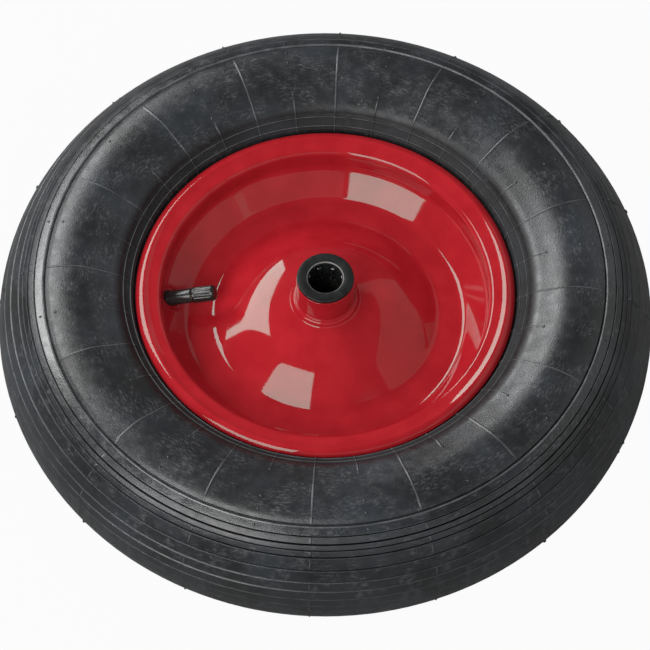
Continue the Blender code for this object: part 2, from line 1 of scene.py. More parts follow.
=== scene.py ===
# %% [markdown]
# Wheelbarrow wheel, dressed for its photograph
#
# The wheel lies on its side on a white floor: a ribbed pneumatic tyre on a pressed steel rim painted
# gloss red, with a rubber-covered valve, a ribbed valve cap and two black roller cages in the hub. The
# working structure is already modelled. This lesson lays the visible surfaces over it, each one worked
# out with numpy as a function of two parameters, and gives every surface its own finish.

import bmesh
import bpy
import numpy as np
from mathutils import Matrix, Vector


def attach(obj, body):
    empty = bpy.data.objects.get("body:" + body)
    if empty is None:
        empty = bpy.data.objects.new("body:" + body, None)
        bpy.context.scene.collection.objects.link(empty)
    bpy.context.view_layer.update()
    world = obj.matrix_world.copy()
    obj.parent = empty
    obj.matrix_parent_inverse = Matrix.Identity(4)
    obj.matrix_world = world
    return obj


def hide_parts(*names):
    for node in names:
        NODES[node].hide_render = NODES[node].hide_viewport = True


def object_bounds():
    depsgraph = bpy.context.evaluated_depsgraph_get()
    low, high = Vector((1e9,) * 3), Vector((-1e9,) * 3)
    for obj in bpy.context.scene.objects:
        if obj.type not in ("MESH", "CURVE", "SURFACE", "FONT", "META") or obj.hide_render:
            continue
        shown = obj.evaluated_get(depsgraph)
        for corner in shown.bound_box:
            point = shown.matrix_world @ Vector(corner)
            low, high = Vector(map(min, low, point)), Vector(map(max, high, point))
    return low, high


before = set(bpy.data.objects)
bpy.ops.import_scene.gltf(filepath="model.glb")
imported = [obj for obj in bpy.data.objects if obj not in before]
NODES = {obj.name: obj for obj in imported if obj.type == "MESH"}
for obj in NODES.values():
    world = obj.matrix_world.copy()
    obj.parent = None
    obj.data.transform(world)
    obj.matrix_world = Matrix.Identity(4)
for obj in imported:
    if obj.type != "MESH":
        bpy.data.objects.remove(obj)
CAD_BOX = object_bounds()
MM = 0.001

# %% [markdown]
# Grids of points
#
# Nearly every part of a wheel is turned or pressed, so its surface is a grid: one parameter runs along
# a profile, the other runs round the axle. A Screw modifier could turn a profile too, but a numpy grid
# also takes grooves, ribs and ripples that change on the way round, and each of them is one formula.

# %% Mesh from a grid


def grid_faces(rows, columns, wrap_rows=False, wrap_columns=False):
    """Corner numbers of the quads of a grid: each quad joins point (i, j) to its next row and column."""
    i = np.arange(rows if wrap_rows else rows - 1)[:, None]
    j = np.arange(columns if wrap_columns else columns - 1)[None, :]
    k, m = (i + 1) % rows, (j + 1) % columns
    corners = [i * columns + j, i * columns + m, k * columns + m, k * columns + j]
    return np.stack([np.broadcast_to(c, (len(i), j.size)) for c in corners], -1).reshape(-1, 4)


def piece(name, points, faces, finish, body="wheel", replaces=(), marks=None):
    """Puts points and faces into a mesh, turns the faces outward and lets the piece ride on a body. Marks
    are named values, one for each point, that the finish can read, such as where an edge is rubbed."""
    mesh = bpy.data.meshes.new(name)
    flat_points = np.asarray(points, float).reshape(-1, 3)
    mesh.from_pydata(flat_points.tolist(), [], [list(map(int, f)) for f in faces])
    for mark, values in (marks or {}).items():
        stored = mesh.attributes.new(mark, "FLOAT", "POINT")
        stored.data.foreach_set("value", np.ravel(values).astype(np.float32))
    work = bmesh.new()
    work.from_mesh(mesh)
    bmesh.ops.remove_doubles(work, verts=work.verts, dist=1e-7)
    bmesh.ops.recalc_face_normals(work, faces=work.faces)
    work.to_mesh(mesh)
    work.free()
    mesh.shade_smooth()
    mesh.materials.append(finish)
    made = bpy.data.objects.new(name, mesh)
    bpy.context.scene.collection.objects.link(made)
    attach(made, body)
    if replaces:
        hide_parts(*replaces)
    triangles = sum(len(p.vertices) - 2 for p in mesh.polygons)
    print(f"{name}: {len(mesh.polygons)} faces, {triangles} triangles")
    return made


def round_axle(radius, height, azimuth):
    """Points (radius cos a, radius sin a, height), where the azimuth a is the angle round the axle."""
    radius, height, azimuth = np.broadcast_arrays(radius, height, azimuth)
    return np.stack([radius * np.cos(azimuth), radius * np.sin(azimuth), height], -1)


def turn(profile, steps):
    """Turned surface of a profile of (radius, height): one row for each even step round the axle."""
    return round_axle(*profile.T, np.linspace(0, 2 * np.pi, steps, endpoint=False)[:, None])


print("a grid of 4 x 3 points has", len(grid_faces(4, 3)), "quads")

# %% [markdown]
# Rounded corners
#
# No pressed or moulded corner is sharp. A profile is written as a few corners with a radius for each,
# and every corner is replaced by a short curve that leaves one side and joins the next.

# %% Profile with rounded corners


def quadratic(start, at, end, u):
    """Curve from start to end that leans on the corner at: (1-u)^2 start + 2u(1-u) at + u^2 end."""
    return (1 - u) ** 2 * start + 2 * u * (1 - u) * at + u ** 2 * end


def apart(line, least):
    """True for each point of a line that lies further than this from the point before it."""
    return np.append(True, np.linalg.norm(np.diff(line, axis=0), axis=1) > least)


def rounded(corners, steps=6, closed=True):
    """Profile through corners (radius, height, rounding), in millimetres. Each corner gives way to a
    curve between its two sides, which begins and ends one rounding away from the corner, or half a side
    where the side is short."""
    pts = np.array([c[:2] for c in corners], float)
    cut = np.array([c[2] for c in corners], float)
    before, after = np.roll(pts, 1, 0), np.roll(pts, -1, 0)
    span_b = np.linalg.norm(before - pts, axis=1)
    span_a = np.linalg.norm(after - pts, axis=1)
    reach_b, reach_a = np.minimum(cut, span_b * 0.49), np.minimum(cut, span_a * 0.49)
    start = pts + (before - pts) * (reach_b / span_b)[:, None]
    end = pts + (after - pts) * (reach_a / span_a)[:, None]
    u = np.linspace(0, 1, steps)[None, :, None]
    curve = quadratic(start[:, None], pts[:, None], end[:, None], u)
    if not closed:
        curve[0], curve[-1] = pts[0], pts[-1]
    line = curve.reshape(-1, 2)
    return line[apart(line, 1e-6)] * MM


print("rounded square:", len(rounded([(1, 0, 0.2), (2, 0, 0.2), (2, 1, 0.2), (1, 1, 0.2)])), "points")

# %% [markdown]
# Camera
#
# The wheel was photographed from above and in front, with a long lens, so its circles look like
# slightly flattened ellipses and hardly narrow towards the back. The angle, the distance and the lens
# come from those ellipses: the flatter the ellipse, the lower the camera.

# %% Camera
ELEVATION, DISTANCE, LENS = np.radians(59.08), 3.5, 315.9
TOWARDS_CAMERA = np.array([0.0, -np.cos(ELEVATION), np.sin(ELEVATION)])
AIM = np.array([-0.18, -3.42, -2.05]) * MM
camera = bpy.data.objects.new("camera", bpy.data.cameras.new("camera"))
bpy.context.scene.collection.objects.link(camera)
camera.location = AIM + DISTANCE * TOWARDS_CAMERA
camera.rotation_euler = (np.pi / 2 - ELEVATION, 0, 0)
camera.data.sensor_width = 36
camera.data.lens = LENS
camera.data.clip_end = 30
bpy.context.scene.camera = camera
bpy.context.scene.view_settings.view_transform = "Standard"
print("camera at", np.round(camera.location, 3))

# %% [markdown]
# Light
#
# Gloss paint shows its surroundings, so the lamps are placed by what they draw on the rim: a long softbox
# at the left gives the wing beside the hub and the bright line along the flange, an upright one at the
# near left gives the pale patches, and two faint panels stand for the studio's white walls. A small sun
# could light the scene too, but only wide lamps give these broad, even reflections.

# %% Softboxes


def softbox(name, centre, across, up, brightness):
    """Rectangular lamp about a centre, with its two half sides as vectors. Its power is pi x area x
    brightness, so a mirror shows it at that brightness whatever its size."""
    across, up = np.array(across, float), np.array(up, float)
    width, height = 2 * np.linalg.norm(across), 2 * np.linalg.norm(up)
    x_axis = across / np.linalg.norm(across)
    z_axis = np.cross(x_axis, up)
    z_axis /= np.linalg.norm(z_axis)
    if z_axis @ np.array(centre) < 0:
        x_axis, z_axis = -x_axis, -z_axis
    y_axis = np.cross(z_axis, x_axis)
    lamp = bpy.data.lights.new(name, "AREA")
    lamp.shape = "RECTANGLE"
    lamp.size, lamp.size_y = width, height
    lamp.energy = np.pi * width * height * brightness
    made = bpy.data.objects.new(name, lamp)
    made.matrix_world = Matrix([[*row, at] for row, at in zip(np.stack([x_axis, y_axis, z_axis], 1), centre)]
                               + [[0, 0, 0, 1]])
    bpy.context.scene.collection.objects.link(made)
    print(f"{name}: {width:.2f} x {height:.2f} m")


softbox("left_softbox", (-1.01, 1.473, 1.169), (-0.008, 1.235, 0.203), (0, -0.068, 0.415), 7.5)
softbox("near_softbox", (-0.494, -0.543, 0.775), (0.31, -0.117, 0), (0, 0, 0.425), 6.0)
softbox("right_wall", (1.336, 0.236, 0.848), (-0.236, 1.336, 0), (-0.339, -0.06, 0.551), 0.36)
softbox("near_wall", (0.541, -1.244, 0.848), (0.77, 0.335, 0), (-0.137, 0.316, 0.551), 0.36)

# %% [markdown]
# Floor and surroundings
#
# The photograph's background is pure white. The floor and the sky are therefore white only to the
# camera: to everything else they are an even pale grey, which keeps the paint deep and the rubber black.
# Two small functions make every shader node, here and in the finishes that follow.

# %% Shader nodes


def feed(tree, node, values):
    """Gives inputs of a node, by name or number, a number, a colour or what another node puts out."""
    for name, value in values.items():
        socket = node.inputs[name]
        if isinstance(value, bpy.types.NodeSocket):
            tree.links.new(value, socket)
        elif socket.type == "RGBA":
            socket.default_value = (*value, 1)
        else:
            socket.default_value = value
    return node


def added(tree, kind, values=None, **settings):
    """New node of a kind, with its settings and its inputs."""
    node = tree.nodes.new("ShaderNode" + kind)
    for name, value in settings.items():
        setattr(node, name, value)
    return feed(tree, node, values or {})


def white_to_camera(tree, plain, share, kind, output):
    """Mixes a shader with a share of white light of strength 1, for rays straight from the camera."""
    path = added(tree, "LightPath").outputs["Is Camera Ray"]
    amount = added(tree, "Math", {0: path, 1: share}, operation="MULTIPLY").outputs[0]
    white = added(tree, kind, {"Color": (1, 1, 1), "Strength": 1.0}).outputs[0]
    blend = added(tree, "MixShader", {0: amount, 1: plain.outputs[0], 2: white}).outputs[0]
    feed(tree, tree.nodes[output], {"Surface": blend})


print("helpers ready for shader nodes")

# %% Floor and sky
SKY_ON_MATT, SKY_IN_GLOSS = 0.30, 0.08
FLOOR_GREY, WHITE_SHARE = 0.22, 0.96
world = bpy.data.worlds.new("studio")
bpy.context.scene.world = world
world.use_nodes = True
tree = world.node_tree
glossy = added(tree, "LightPath").outputs["Is Glossy Ray"]
level = added(tree, "MapRange", {"Value": glossy, "To Min": SKY_ON_MATT, "To Max": SKY_IN_GLOSS})
sky = feed(tree, tree.nodes["Background"], {"Color": (1, 1, 1), "Strength": level.outputs["Result"]})
white_to_camera(tree, sky, 1.0, "Background", "World Output")

floor_finish = bpy.data.materials.new("floor")
floor_finish.use_nodes = True
tree = floor_finish.node_tree
matt = feed(tree, tree.nodes["Principled BSDF"], {"Base Color": (FLOOR_GREY,) * 3, "Roughness": 0.9})
white_to_camera(tree, matt, WHITE_SHARE, "Emission", "Material Output")

MOULD_LINE_REACH = 0.5 * MM
FLOOR_HALF, FLOOR_LEVEL = 4.0, CAD_BOX[0][2] - MOULD_LINE_REACH
floor_mesh = bpy.data.meshes.new("floor")
floor_mesh.from_pydata([(x * FLOOR_HALF, y * FLOOR_HALF, FLOOR_LEVEL) for x, y in ((-1, -1), (1, -1), (1, 1),
                        (-1, 1))], [], [(0, 1, 2, 3)])
floor_mesh.materials.append(floor_finish)
floor = bpy.data.objects.new("floor", floor_mesh)
bpy.context.scene.collection.objects.link(floor)
print("floor at", FLOOR_LEVEL)

# %% [markdown]
# Finishes
#
# Every finish is a Principled shader with a few nodes in front of it: noise on object coordinates for
# slow changes of colour and gloss, and a bump for the fine surface. The size of each noise is its real
# size: on an object measured in metres a scale of 200 gives patches of about 5 millimetres.

# %% Node helpers


def finish(name, colour, roughness, metallic=0.0, specular=0.5):
    """New material with a plain Principled shader. Returns the material, its nodes and the shader."""
    made = bpy.data.materials.new(name)
    made.use_nodes = True
    shader = feed(made.node_tree, made.node_tree.nodes["Principled BSDF"], {
        "Base Color": colour, "Roughness": roughness, "Metallic": metallic, "Specular IOR Level": specular})
    made.diffuse_color = (*colour, 1)
    return made, made.node_tree, shader


def noise(tree, scale, detail, vector=None):
    """Noise between about 0.25 and 0.75, on object coordinates or on a vector that other nodes make."""
    if vector is None:
        vector = added(tree, "TexCoord").outputs["Object"]
    return added(tree, "TexNoise", {"Scale": scale, "Detail": detail, "Vector": vector}).outputs["Fac"]


def graded(tree, value, from_low, from_high, to_low, to_high):
    """Straight change from one range of values to another, held at its ends."""
    return added(tree, "MapRange", {"Value": value, "From Min": from_low, "From Max": from_high,
                                    "To Min": to_low, "To Max": to_high}).outputs["Result"]


def tinted(tree, value, low, high):
    """Colour that runs from low to high as the value runs from 0 to 1. Either may come from other nodes.
    Inputs 0, 6 and 7 of the node are its factor and its two colours."""
    return added(tree, "Mix", {0: value, 6: low, 7: high}, data_type="RGBA").outputs[2]


def marked(tree, mark):
    """Value of a mark that is stored on the mesh."""
    return added(tree, "Attribute", attribute_name=mark).outputs["Fac"]


def bumped(tree, shader, height, distance, strength):
    """Bump of a real depth in metres. Strength is a number, or a value that other nodes make."""
    bump = added(tree, "Bump", {"Distance": distance, "Strength": strength, "Height": height})
    feed(tree, shader, {"Normal": bump.outputs["Normal"]})


def mottled(name, low, high, rough, scales, depth, metallic=0.0, specular=0.5):
    """Finish with three noises of their own scales: the colour drifts from low to high, the roughness
    drifts between two values, and a fine grain of a given depth in metres lies over both. Returns the
    material, its nodes, the shader and the drifting colour."""
    middle = [(a + b) / 2 for a, b in zip(low, high)]
    made, tree, shader = finish(name, middle, sum(rough) / 2, metallic, specular)
    colour = tinted(tree, graded(tree, noise(tree, scales[0], 5), 0.35, 0.65, 0, 1), low, high)
    drift = graded(tree, noise(tree, scales[1], 4), 0.3, 0.7, *rough)
    feed(tree, shader, {"Base Color": colour, "Roughness": drift})
    bumped(tree, shader, noise(tree, scales[2], 3), depth, 0.4)
    return made, tree, shader, colour


print("helpers ready for finishes")

# %% [markdown]
# Red gloss paint
#
# The rim's paint is thick and baked, so it is nearly a mirror over a deep red. The red drifts a little
# in patches, the gloss drifts more, and a very low bump gives the faint orange peel of sprayed paint.

# %% Red gloss paint
RED_PAINT, tree, shader = finish("red_paint", (0.38, 0.012, 0.018), 0.05)
flow = graded(tree, noise(tree, 60, 2), 0.35, 0.65, 0, 1)
red = tinted(tree, flow, (0.35, 0.010, 0.016), (0.40, 0.014, 0.021))
drift = graded(tree, noise(tree, 400, 4), 0.3, 0.7, 0.03, 0.07)
feed(tree, shader, {"Base Color": red, "Roughness": drift, "Specular Tint": (0.35, 1.0, 0.88)})
bumped(tree, shader, noise(tree, 700, 2), 0.000008, 0.5)
print("red paint nodes:", len(tree.nodes))

# %% [markdown]
# Black tyre rubber
#
# New rubber is dark with a dull shine, and a wheel that has been handled has pale scuffs, which run
# round the tyre, in patches. The scuffs are noise whose coordinates run round the axle. Three marks
# stored on the mesh do the rest: standing edges are pale, partly from wear and partly as a painted
# highlight; the floors of the grooves, the step and the bead beside the flange are darkened as painted
# shade, which also takes away their shine; and one band is polished.

# %% Noise that runs round the axle
ROUND_RADIUS = 0.15


def combined(tree, operation, first, second):
    """Arithmetic on two values, of which the second may be a plain number."""
    return added(tree, "Math", {0: first, 1: second}, operation=operation).outputs[0]


def vector_step(tree, operation, values, output=0):
    """Arithmetic on vectors."""
    return added(tree, "VectorMath", values, operation=operation).outputs[output]


def from_axle(tree):
    """Way from the axle to a point, level with the wheel, and its length in metres."""
    place = added(tree, "TexCoord").outputs["Object"]
    level_way = vector_step(tree, "MULTIPLY", {0: place, 1: (1.0, 1.0, 0.0)})
    return level_way, vector_step(tree, "LENGTH", {0: level_way}, "Value")


def polar_noise(tree, scale, detail, radial):
    """Noise whose coordinates are the direction from the axle, as a point on a circle of radius 0.15 m, and
    the radius times a stretch. A stretch above 1 gives streaks that lie along the tyre's circles, below 1
    streaks that point to the hub, and there is no seam."""
    level_way, length = from_axle(tree)
    direction = vector_step(tree, "NORMALIZE", {0: level_way})
    wide = vector_step(tree, "SCALE", {0: direction, "Scale": ROUND_RADIUS})
    high = added(tree, "CombineXYZ", {"Z": combined(tree, "MULTIPLY", length, radial)}).outputs[0]
    return noise(tree, scale, detail, vector_step(tree, "ADD", {0: wide, 1: high}))


print("streaks run round a circle of radius", ROUND_RADIUS)

# %% Black tyre rubber
BEAD_ZONE = (0.122, 0.130)
# The last colour here is near black painted shade, for the floors of the grooves, the step and the bead zone
NEW_RUBBER, BLOOMED, SCUFFED, PAINTED_SHADE_COLOUR = ((0.011, 0.012, 0.013), (0.024, 0.028, 0.034), (0.110, 0.114, 0.120),
                                      (0.003, 0.003, 0.003))
TYRE_RUBBER, tree, shader = finish("tyre_rubber", (0.022, 0.024, 0.026), 0.33)
wear_and_highlight, painted_shade, polish = (marked(tree, mark) for mark in ("wear_and_highlight", "painted_shade", "polish"))
bead_zone = graded(tree, from_axle(tree)[1], *BEAD_ZONE, 1, 0)
bloom = graded(tree, noise(tree, 22, 5), 0.42, 0.66, 0, 1)
grain = graded(tree, noise(tree, 1000, 2), 0.42, 0.66, 0, 1)
specks = graded(tree, noise(tree, 1300, 3), 0.58, 0.68, 0, 1)
streaks = graded(tree, polar_noise(tree, 300, 5, 3.0), 0.5, 0.70, 0, 1)
patches = graded(tree, noise(tree, 70, 5), 0.42, 0.62, 0.1, 1)
scuffs = combined(tree, "MULTIPLY", combined(tree, "MAXIMUM", specks, streaks), patches)
# Edges are lighter, partly from wear and partly as painted highlight, broken up by noise
worn_and_highlit_edges = combined(tree, "MULTIPLY", wear_and_highlight, graded(tree, noise(tree, 90, 4), 0.38, 0.6, 0.35, 1.0))
pale = combined(tree, "MAXIMUM", combined(tree, "MULTIPLY", scuffs, 0.5), worn_and_highlit_edges)
# Painted shade: where that mark is 1 the colour goes to near black and the shine goes to nothing
unshaded = graded(tree, painted_shade, 0.0, 1.0, 1.0, 0.0)
black = tinted(tree, pale, tinted(tree, bloom, NEW_RUBBER, BLOOMED), SCUFFED)
gloss = combined(tree, "MULTIPLY", graded(tree, polish, 0.0, 1.0, 0.75, 1.0), unshaded)
rough = graded(tree, noise(tree, 140, 5), 0.3, 0.7, 0.28, 0.44)
for value, share in ((polish, -0.12), (scuffs, 0.12), (bead_zone, 0.3)):
    rough = combined(tree, "ADD", rough, combined(tree, "MULTIPLY", value, share))
feed(tree, shader, {"Base Color": tinted(tree, unshaded, PAINTED_SHADE_COLOUR, black), "Specular IOR Level": gloss,
                    "Roughness": rough})
relief = combined(tree, "ADD", grain, combined(tree, "MULTIPLY", streaks, 0.4))
bumped(tree, shader, relief, 0.00006, graded(tree, polish, 0.0, 1.0, 0.42, 0.2))
print("tyre rubber nodes:", len(tree.nodes))

# %% [markdown]
# The other finishes
#
# Moulded plastic, drawn steel, brass and plain rubber all take the same three noises, each with its own
# colours and scales. The cage also has a painted highlight: its chamfer round the bore is coloured pale,
# read from a mark on its mesh.

# %% Other finishes
CAGE_PLASTIC, tree, shader, flat_black = mottled(
    "cage_plastic", (0.007, 0.008, 0.008), (0.015, 0.016, 0.016), (0.30, 0.48), (220, 300, 1500), 3e-5,
    specular=0.35)
# Painted highlight: pale colour for the cage's chamfer round the bore
CHAMFER_HIGHLIGHT = (0.20, 0.19, 0.18)
feed(tree, shader, {"Base Color": tinted(tree, marked(tree, "wear_and_highlight"), flat_black, CHAMFER_HIGHLIGHT)})

# Two colours, two roughnesses, three scales, depth in metres, then metallic and specular where they differ
LOOKS = {
    "roller_steel": ((0.38, 0.38, 0.37), (0.48, 0.48, 0.47), (0.24, 0.40), (260, 500, 2200), 6e-6, 1.0),
    "bore_steel": ((0.10, 0.095, 0.088), (0.18, 0.172, 0.160), (0.35, 0.60), (180, 300, 1200), 2e-5, 0.6),
    "stem_rubber": ((0.013, 0.013, 0.013), (0.026, 0.026, 0.026), (0.16, 0.26), (300, 500, 1800), 3e-5),
    "cap_plastic": ((0.006, 0.007, 0.006), (0.012, 0.013, 0.012), (0.20, 0.32), (400, 500, 2500), 3e-5,
                    0.0, 0.6),
    "tube_rubber": ((0.012, 0.012, 0.013), (0.028, 0.028, 0.031), (0.35, 0.55), (40, 160, 900), 4e-5),
    "brass": ((0.55, 0.38, 0.14), (0.68, 0.49, 0.21), (0.20, 0.38), (500, 900, 3000), 6e-6, 1.0),
    "spring_steel": ((0.42, 0.42, 0.42), (0.55, 0.55, 0.55), (0.22, 0.38), (700, 900, 4000), 4e-6, 1.0),
    "seal_rubber": ((0.045, 0.012, 0.010), (0.075, 0.019, 0.015), (0.55, 0.75), (500, 800, 2500), 2e-5)}
MOTTLED = {name: mottled(name, *look)[0] for name, look in LOOKS.items()}
print("finishes:", sorted(m.name for m in bpy.data.materials if m.use_nodes))

# %% [markdown]
# Parts that keep their solid
#
# The inner tube, the brass parts of the valve, its spring and the two seals are hidden in use, and their
# solids already have the right shape. They stay as they are and only get their own finishes.

# %% Parts that keep their solid
KEPT = {"inner_tube": "tube_rubber", "valve_body": "brass", "valve_core": "brass", "valve_pin": "brass",
        "valve_seal": "seal_rubber", "cap_seal": "seal_rubber", "valve_spring": "spring_steel"}
for node, its_finish in KEPT.items():
    for slot in NODES[node].material_slots:
        slot.material = MOTTLED[its_finish]
    print(node, "->", its_finish)

# %% [markdown]
# The tyre
#
# The tyre is one moulding: a round section with fine ribs round the tread, two sidewalls, and a bead
# that grips the rim on each side. The section is a closed line in radius and height. The ribs are cut
# into it as a depth that depends only on the place along the section.

# %% Outer face of the tyre
TYRE_MIDDLE, TYRE_HALF = 152.0, np.array([48.0, 50.0])
DEEP_GROOVES = np.array([16.5, 24.7, 34.2, 44.3, 53.6])
FINE_GROOVES = np.array([0, 8, 49.3, 59.2])
STEP_ANGLES = np.array([65.4, 65.9, 66.4, 66.7, 67.7, 68.0, 71.5])
STEP_DEPTHS = np.array([0.0, -0.3, 0.1, 1.8, 1.8, 0.4, 0.0])
SWELL, SWELL_MIDDLE, SWELL_WIDTH = 1.0, 52.0, 9.0
HOLLOW, HOLLOW_MIDDLE, HOLLOW_WIDTH = 1.6, 110.0, 12.0
FACE_END, PLAIN_STEP = 118.0, 3
ONE_DEGREE = np.radians(1) * TYRE_HALF.mean()
GROOVES = ((DEEP_GROOVES, 0.6, 1.6), (FINE_GROOVES, 0.45, 1.0))
FLOOR_SHARE, LEDGE, CLEAR_OF_GROOVE = 0.5, 0.2, 0.8


def nearest(values, others):
    """Distance from each value to the nearest of the others."""
    return np.abs(values[:, None] - others[None, :]).min(1)


def groove_depth(t):
    """Depth of the grooves, in millimetres, at section angle t. Each groove has a flat floor over a share
    of its half width, and from there its walls rise straight to the edges."""
    total = np.zeros_like(t)
    for angles, half_width, depth in GROOVES:
        away = nearest(np.abs(t), angles) * ONE_DEGREE / half_width
        total = np.maximum(total, depth * np.clip((1 - away) / (1 - FLOOR_SHARE), 0, 1))
    return total


def tread_depth(t):
    """Depth of the whole face below the ellipse: the grooves, the step down from the last rib to the
    sidewall and the hollow above the bead, less the swell of the shoulder. Swell and hollow are bell
    curves: height x exp(-((t - middle)/width)^2)."""
    step = np.interp(np.abs(t), STEP_ANGLES, STEP_DEPTHS)
    swell = SWELL * np.exp(-((np.abs(t) - SWELL_MIDDLE) / SWELL_WIDTH) ** 2)
    hollow = HOLLOW * np.exp(-((np.abs(t) - HOLLOW_MIDDLE) / HOLLOW_WIDTH) ** 2)
    return groove_depth(t) + step + hollow - swell


def tyre_face(t):
    """Point (radius, height) at section angle t: middle + half axes times (cos t, sin t), moved inward
    along the normal by the groove's depth. All in millimetres."""
    rad = np.radians(t)
    line = np.stack([TYRE_MIDDLE + TYRE_HALF[0] * np.cos(rad), TYRE_HALF[1] * np.sin(rad)], -1)
    normal = np.stack([np.cos(rad) / TYRE_HALF[0], np.sin(rad) / TYRE_HALF[1]], -1)
    normal /= np.linalg.norm(normal, axis=-1, keepdims=True)
    return line - normal * tread_depth(t)[..., None]


def groove_angles(angles, half_width):
    """Section angles of a groove's points: its floor's two ends, its two edges, and a point a ledge's
    width outside each edge, which keeps the rib beside it flat and the edge crisp."""
    steps = np.array([FLOOR_SHARE * half_width, half_width, half_width + LEDGE]) / ONE_DEGREE
    return np.abs(angles[:, None] + np.concatenate([-steps[::-1], steps])[None, :]).ravel()


near_groove = np.concatenate([groove_angles(a, half_width) for a, half_width, _ in GROOVES]
                             + [STEP_ANGLES, STEP_ANGLES[[0]] - LEDGE, STEP_ANGLES[[5]] + LEDGE])
plain = np.arange(PLAIN_STEP / 2, FACE_END, PLAIN_STEP)
plain = plain[nearest(plain, near_groove) > CLEAR_OF_GROOVE]
angles = np.unique(np.round(np.concatenate([[0.0, FACE_END], plain, near_groove]), 3))
angles = np.concatenate([-angles[:0:-1], angles])
face = tyre_face(angles)
print("points over the tread and sidewalls:", len(face))

# %% [markdown]
# Beads and inside of the tyre
#
# Below the sidewall the rubber ends in two low ridges beside the flange. From there the bead follows
# the flange and its seat, hidden under the steel, and the inside closes the section.

# %% Section of the tyre
RIDGES = [(124.6, 39.5, 0.8), (123.35, 38.15, 0.15), (122.6, 38.35, 0.15), (122.55, 37.4, 0.15),
          (119.15, 34.55, 0.15), (118.35, 34.8, 0.15), (118.3, 33.8, 0.15), (117.2, 32.5, 0.4),
          (116.6, 28.6, 0.3)]
SEAT = [(113.0, 28.6, 0.3), (112.2, 31.2, 0.8), (110.0, 31.9, 1.5), (104.0, 30.6, 2.0), (101.9, 26.0, 2.5),
        (101.9, 15.9, 0.3)]
INSIDE = [(104.4, 15.6, 1.0), (110.3, 23.1, 4.0), (127.0, 36.8, 10.0), (148.0, 45.2, 8.0),
          (174.0, 38.6, 10.0), (187.0, 24.1, 10.0)]
ON_RIDGES, OUT_OF_SIGHT = 119.0, 999.0
ridges = rounded([(125.5, 41.0, 0)] + RIDGES + [SEAT[0]], 4, closed=False) / MM
hidden = rounded([SEAT[0]] + SEAT[1:] + INSIDE + [(193.0, 0.0, 8)], 2, closed=False) / MM
half_inside = np.vstack([ridges, hidden[1:]])
section = np.vstack([face, half_inside, (half_inside[::-1] * np.array([1, -1]))[1:]])
PLACES = ((len(ridges), ON_RIDGES), (2 * len(hidden) - 2, OUT_OF_SIGHT), (len(ridges) - 1, ON_RIDGES))
place = np.concatenate([np.abs(angles)] + [np.full(count, value) for count, value in PLACES])
print("tyre section:", len(section), "points")

# %% [markdown]
# Marks on the section
#
# Edges that stand out are lighter, partly from wear and partly as a painted highlight where they catch
# the light, and the floors of the grooves, the step and the bead zone are darker as painted shade. Both
# could be painted by hand on the mesh. Here each is a number for every point of the section, found from
# its place, so that the marks stay with the ribs when a rib is moved.

# %% Places of wear and painted highlight, painted shade and polish
# Step top and bead ridges get painted highlight; rib and shoulder edges get wear and painted highlight; the
# step floor, the bead zone and the groove floors get painted shade
STEP_HIGHLIGHT, EDGE_WEAR_AND_HIGHLIGHT, SHOULDER_WEAR_AND_HIGHLIGHT, STEP_SHADE, BEAD_SHADE, FIN_HIGHLIGHT = 0.9, 0.5, 0.45, 0.3, 0.5, 0.8
STEP_TOP, STEP_FLOOR, POLISHED = (65.3, 66.5), (66.5, 67.9), (59.8, 65.8)
FULL_SHADE_DEPTH = 1.1
FINS, FIN_SIZE = np.array([(122.6, 38.35), (118.35, 34.8)]), 0.25


def inside(values, limits):
    """True where a value lies between two limits."""
    return (values > limits[0]) & (values < limits[1])


def whole(on_face, on_half):
    """Values for the whole section: those of the outer face, then those of the inner half, there and back."""
    return np.concatenate([on_face, on_half, on_half[::-1][1:]])


away = np.abs(angles)
both_sides = np.array([-1, 1]) / ONE_DEGREE
edges = np.concatenate([(a[:, None] + half_width * both_sides).ravel() for a, half_width, _ in GROOVES])
on_edge = nearest(away, edges) < 0.02
on_shoulder = on_edge & (np.abs(away - FINE_GROOVES[-1]) < 1)
on_fin = FIN_HIGHLIGHT * (np.linalg.norm(half_inside[:, None] - FINS[None], axis=-1).min(1) < FIN_SIZE)
on_edges = EDGE_WEAR_AND_HIGHLIGHT * on_edge + SHOULDER_WEAR_AND_HIGHLIGHT * on_shoulder
# Lighter edges: partly wear, partly painted highlight
wear_and_highlight_line = whole(STEP_HIGHLIGHT * inside(away, STEP_TOP) + on_edges, on_fin)
# Painted shade: darker the deeper a groove's floor, and on the step's floor and over the bead
groove_shade = np.minimum(groove_depth(angles) / FULL_SHADE_DEPTH, 1)
shade_line = whole(np.maximum(groove_shade, STEP_SHADE * inside(away, STEP_FLOOR)), BEAD_SHADE * (on_fin == 0))
polish_line = inside(place, POLISHED).astype(float)

kept = apart(section, 1e-2)
section, place, wear_and_highlight_line, shade_line, polish_line = (
    line[kept] for line in (section, place, wear_and_highlight_line, shade_line, polish_line))
tangent = np.roll(section, -1, 0) - np.roll(section, 1, 0)
tangent /= np.linalg.norm(tangent, axis=1, keepdims=True)
section_normal = np.stack([tangent[:, 1], -tangent[:, 0]], -1)
# The counts are of points with wear and painted highlight, and of points with painted shade
print("marked points:", int((wear_and_highlight_line > 0).sum()), "worn,", int((shade_line > 0).sum()), "dirty")

# %% [markdown]
# Mould lines
#
# A mould made in segments leaves fine raised lines that point to the hub, sixteen long and sixteen short
# on each sidewall. They could be thin strips laid on the rubber, but then they would seem stuck on. Here
# they are a lift of the section itself near their azimuths, where the grid gets extra columns.

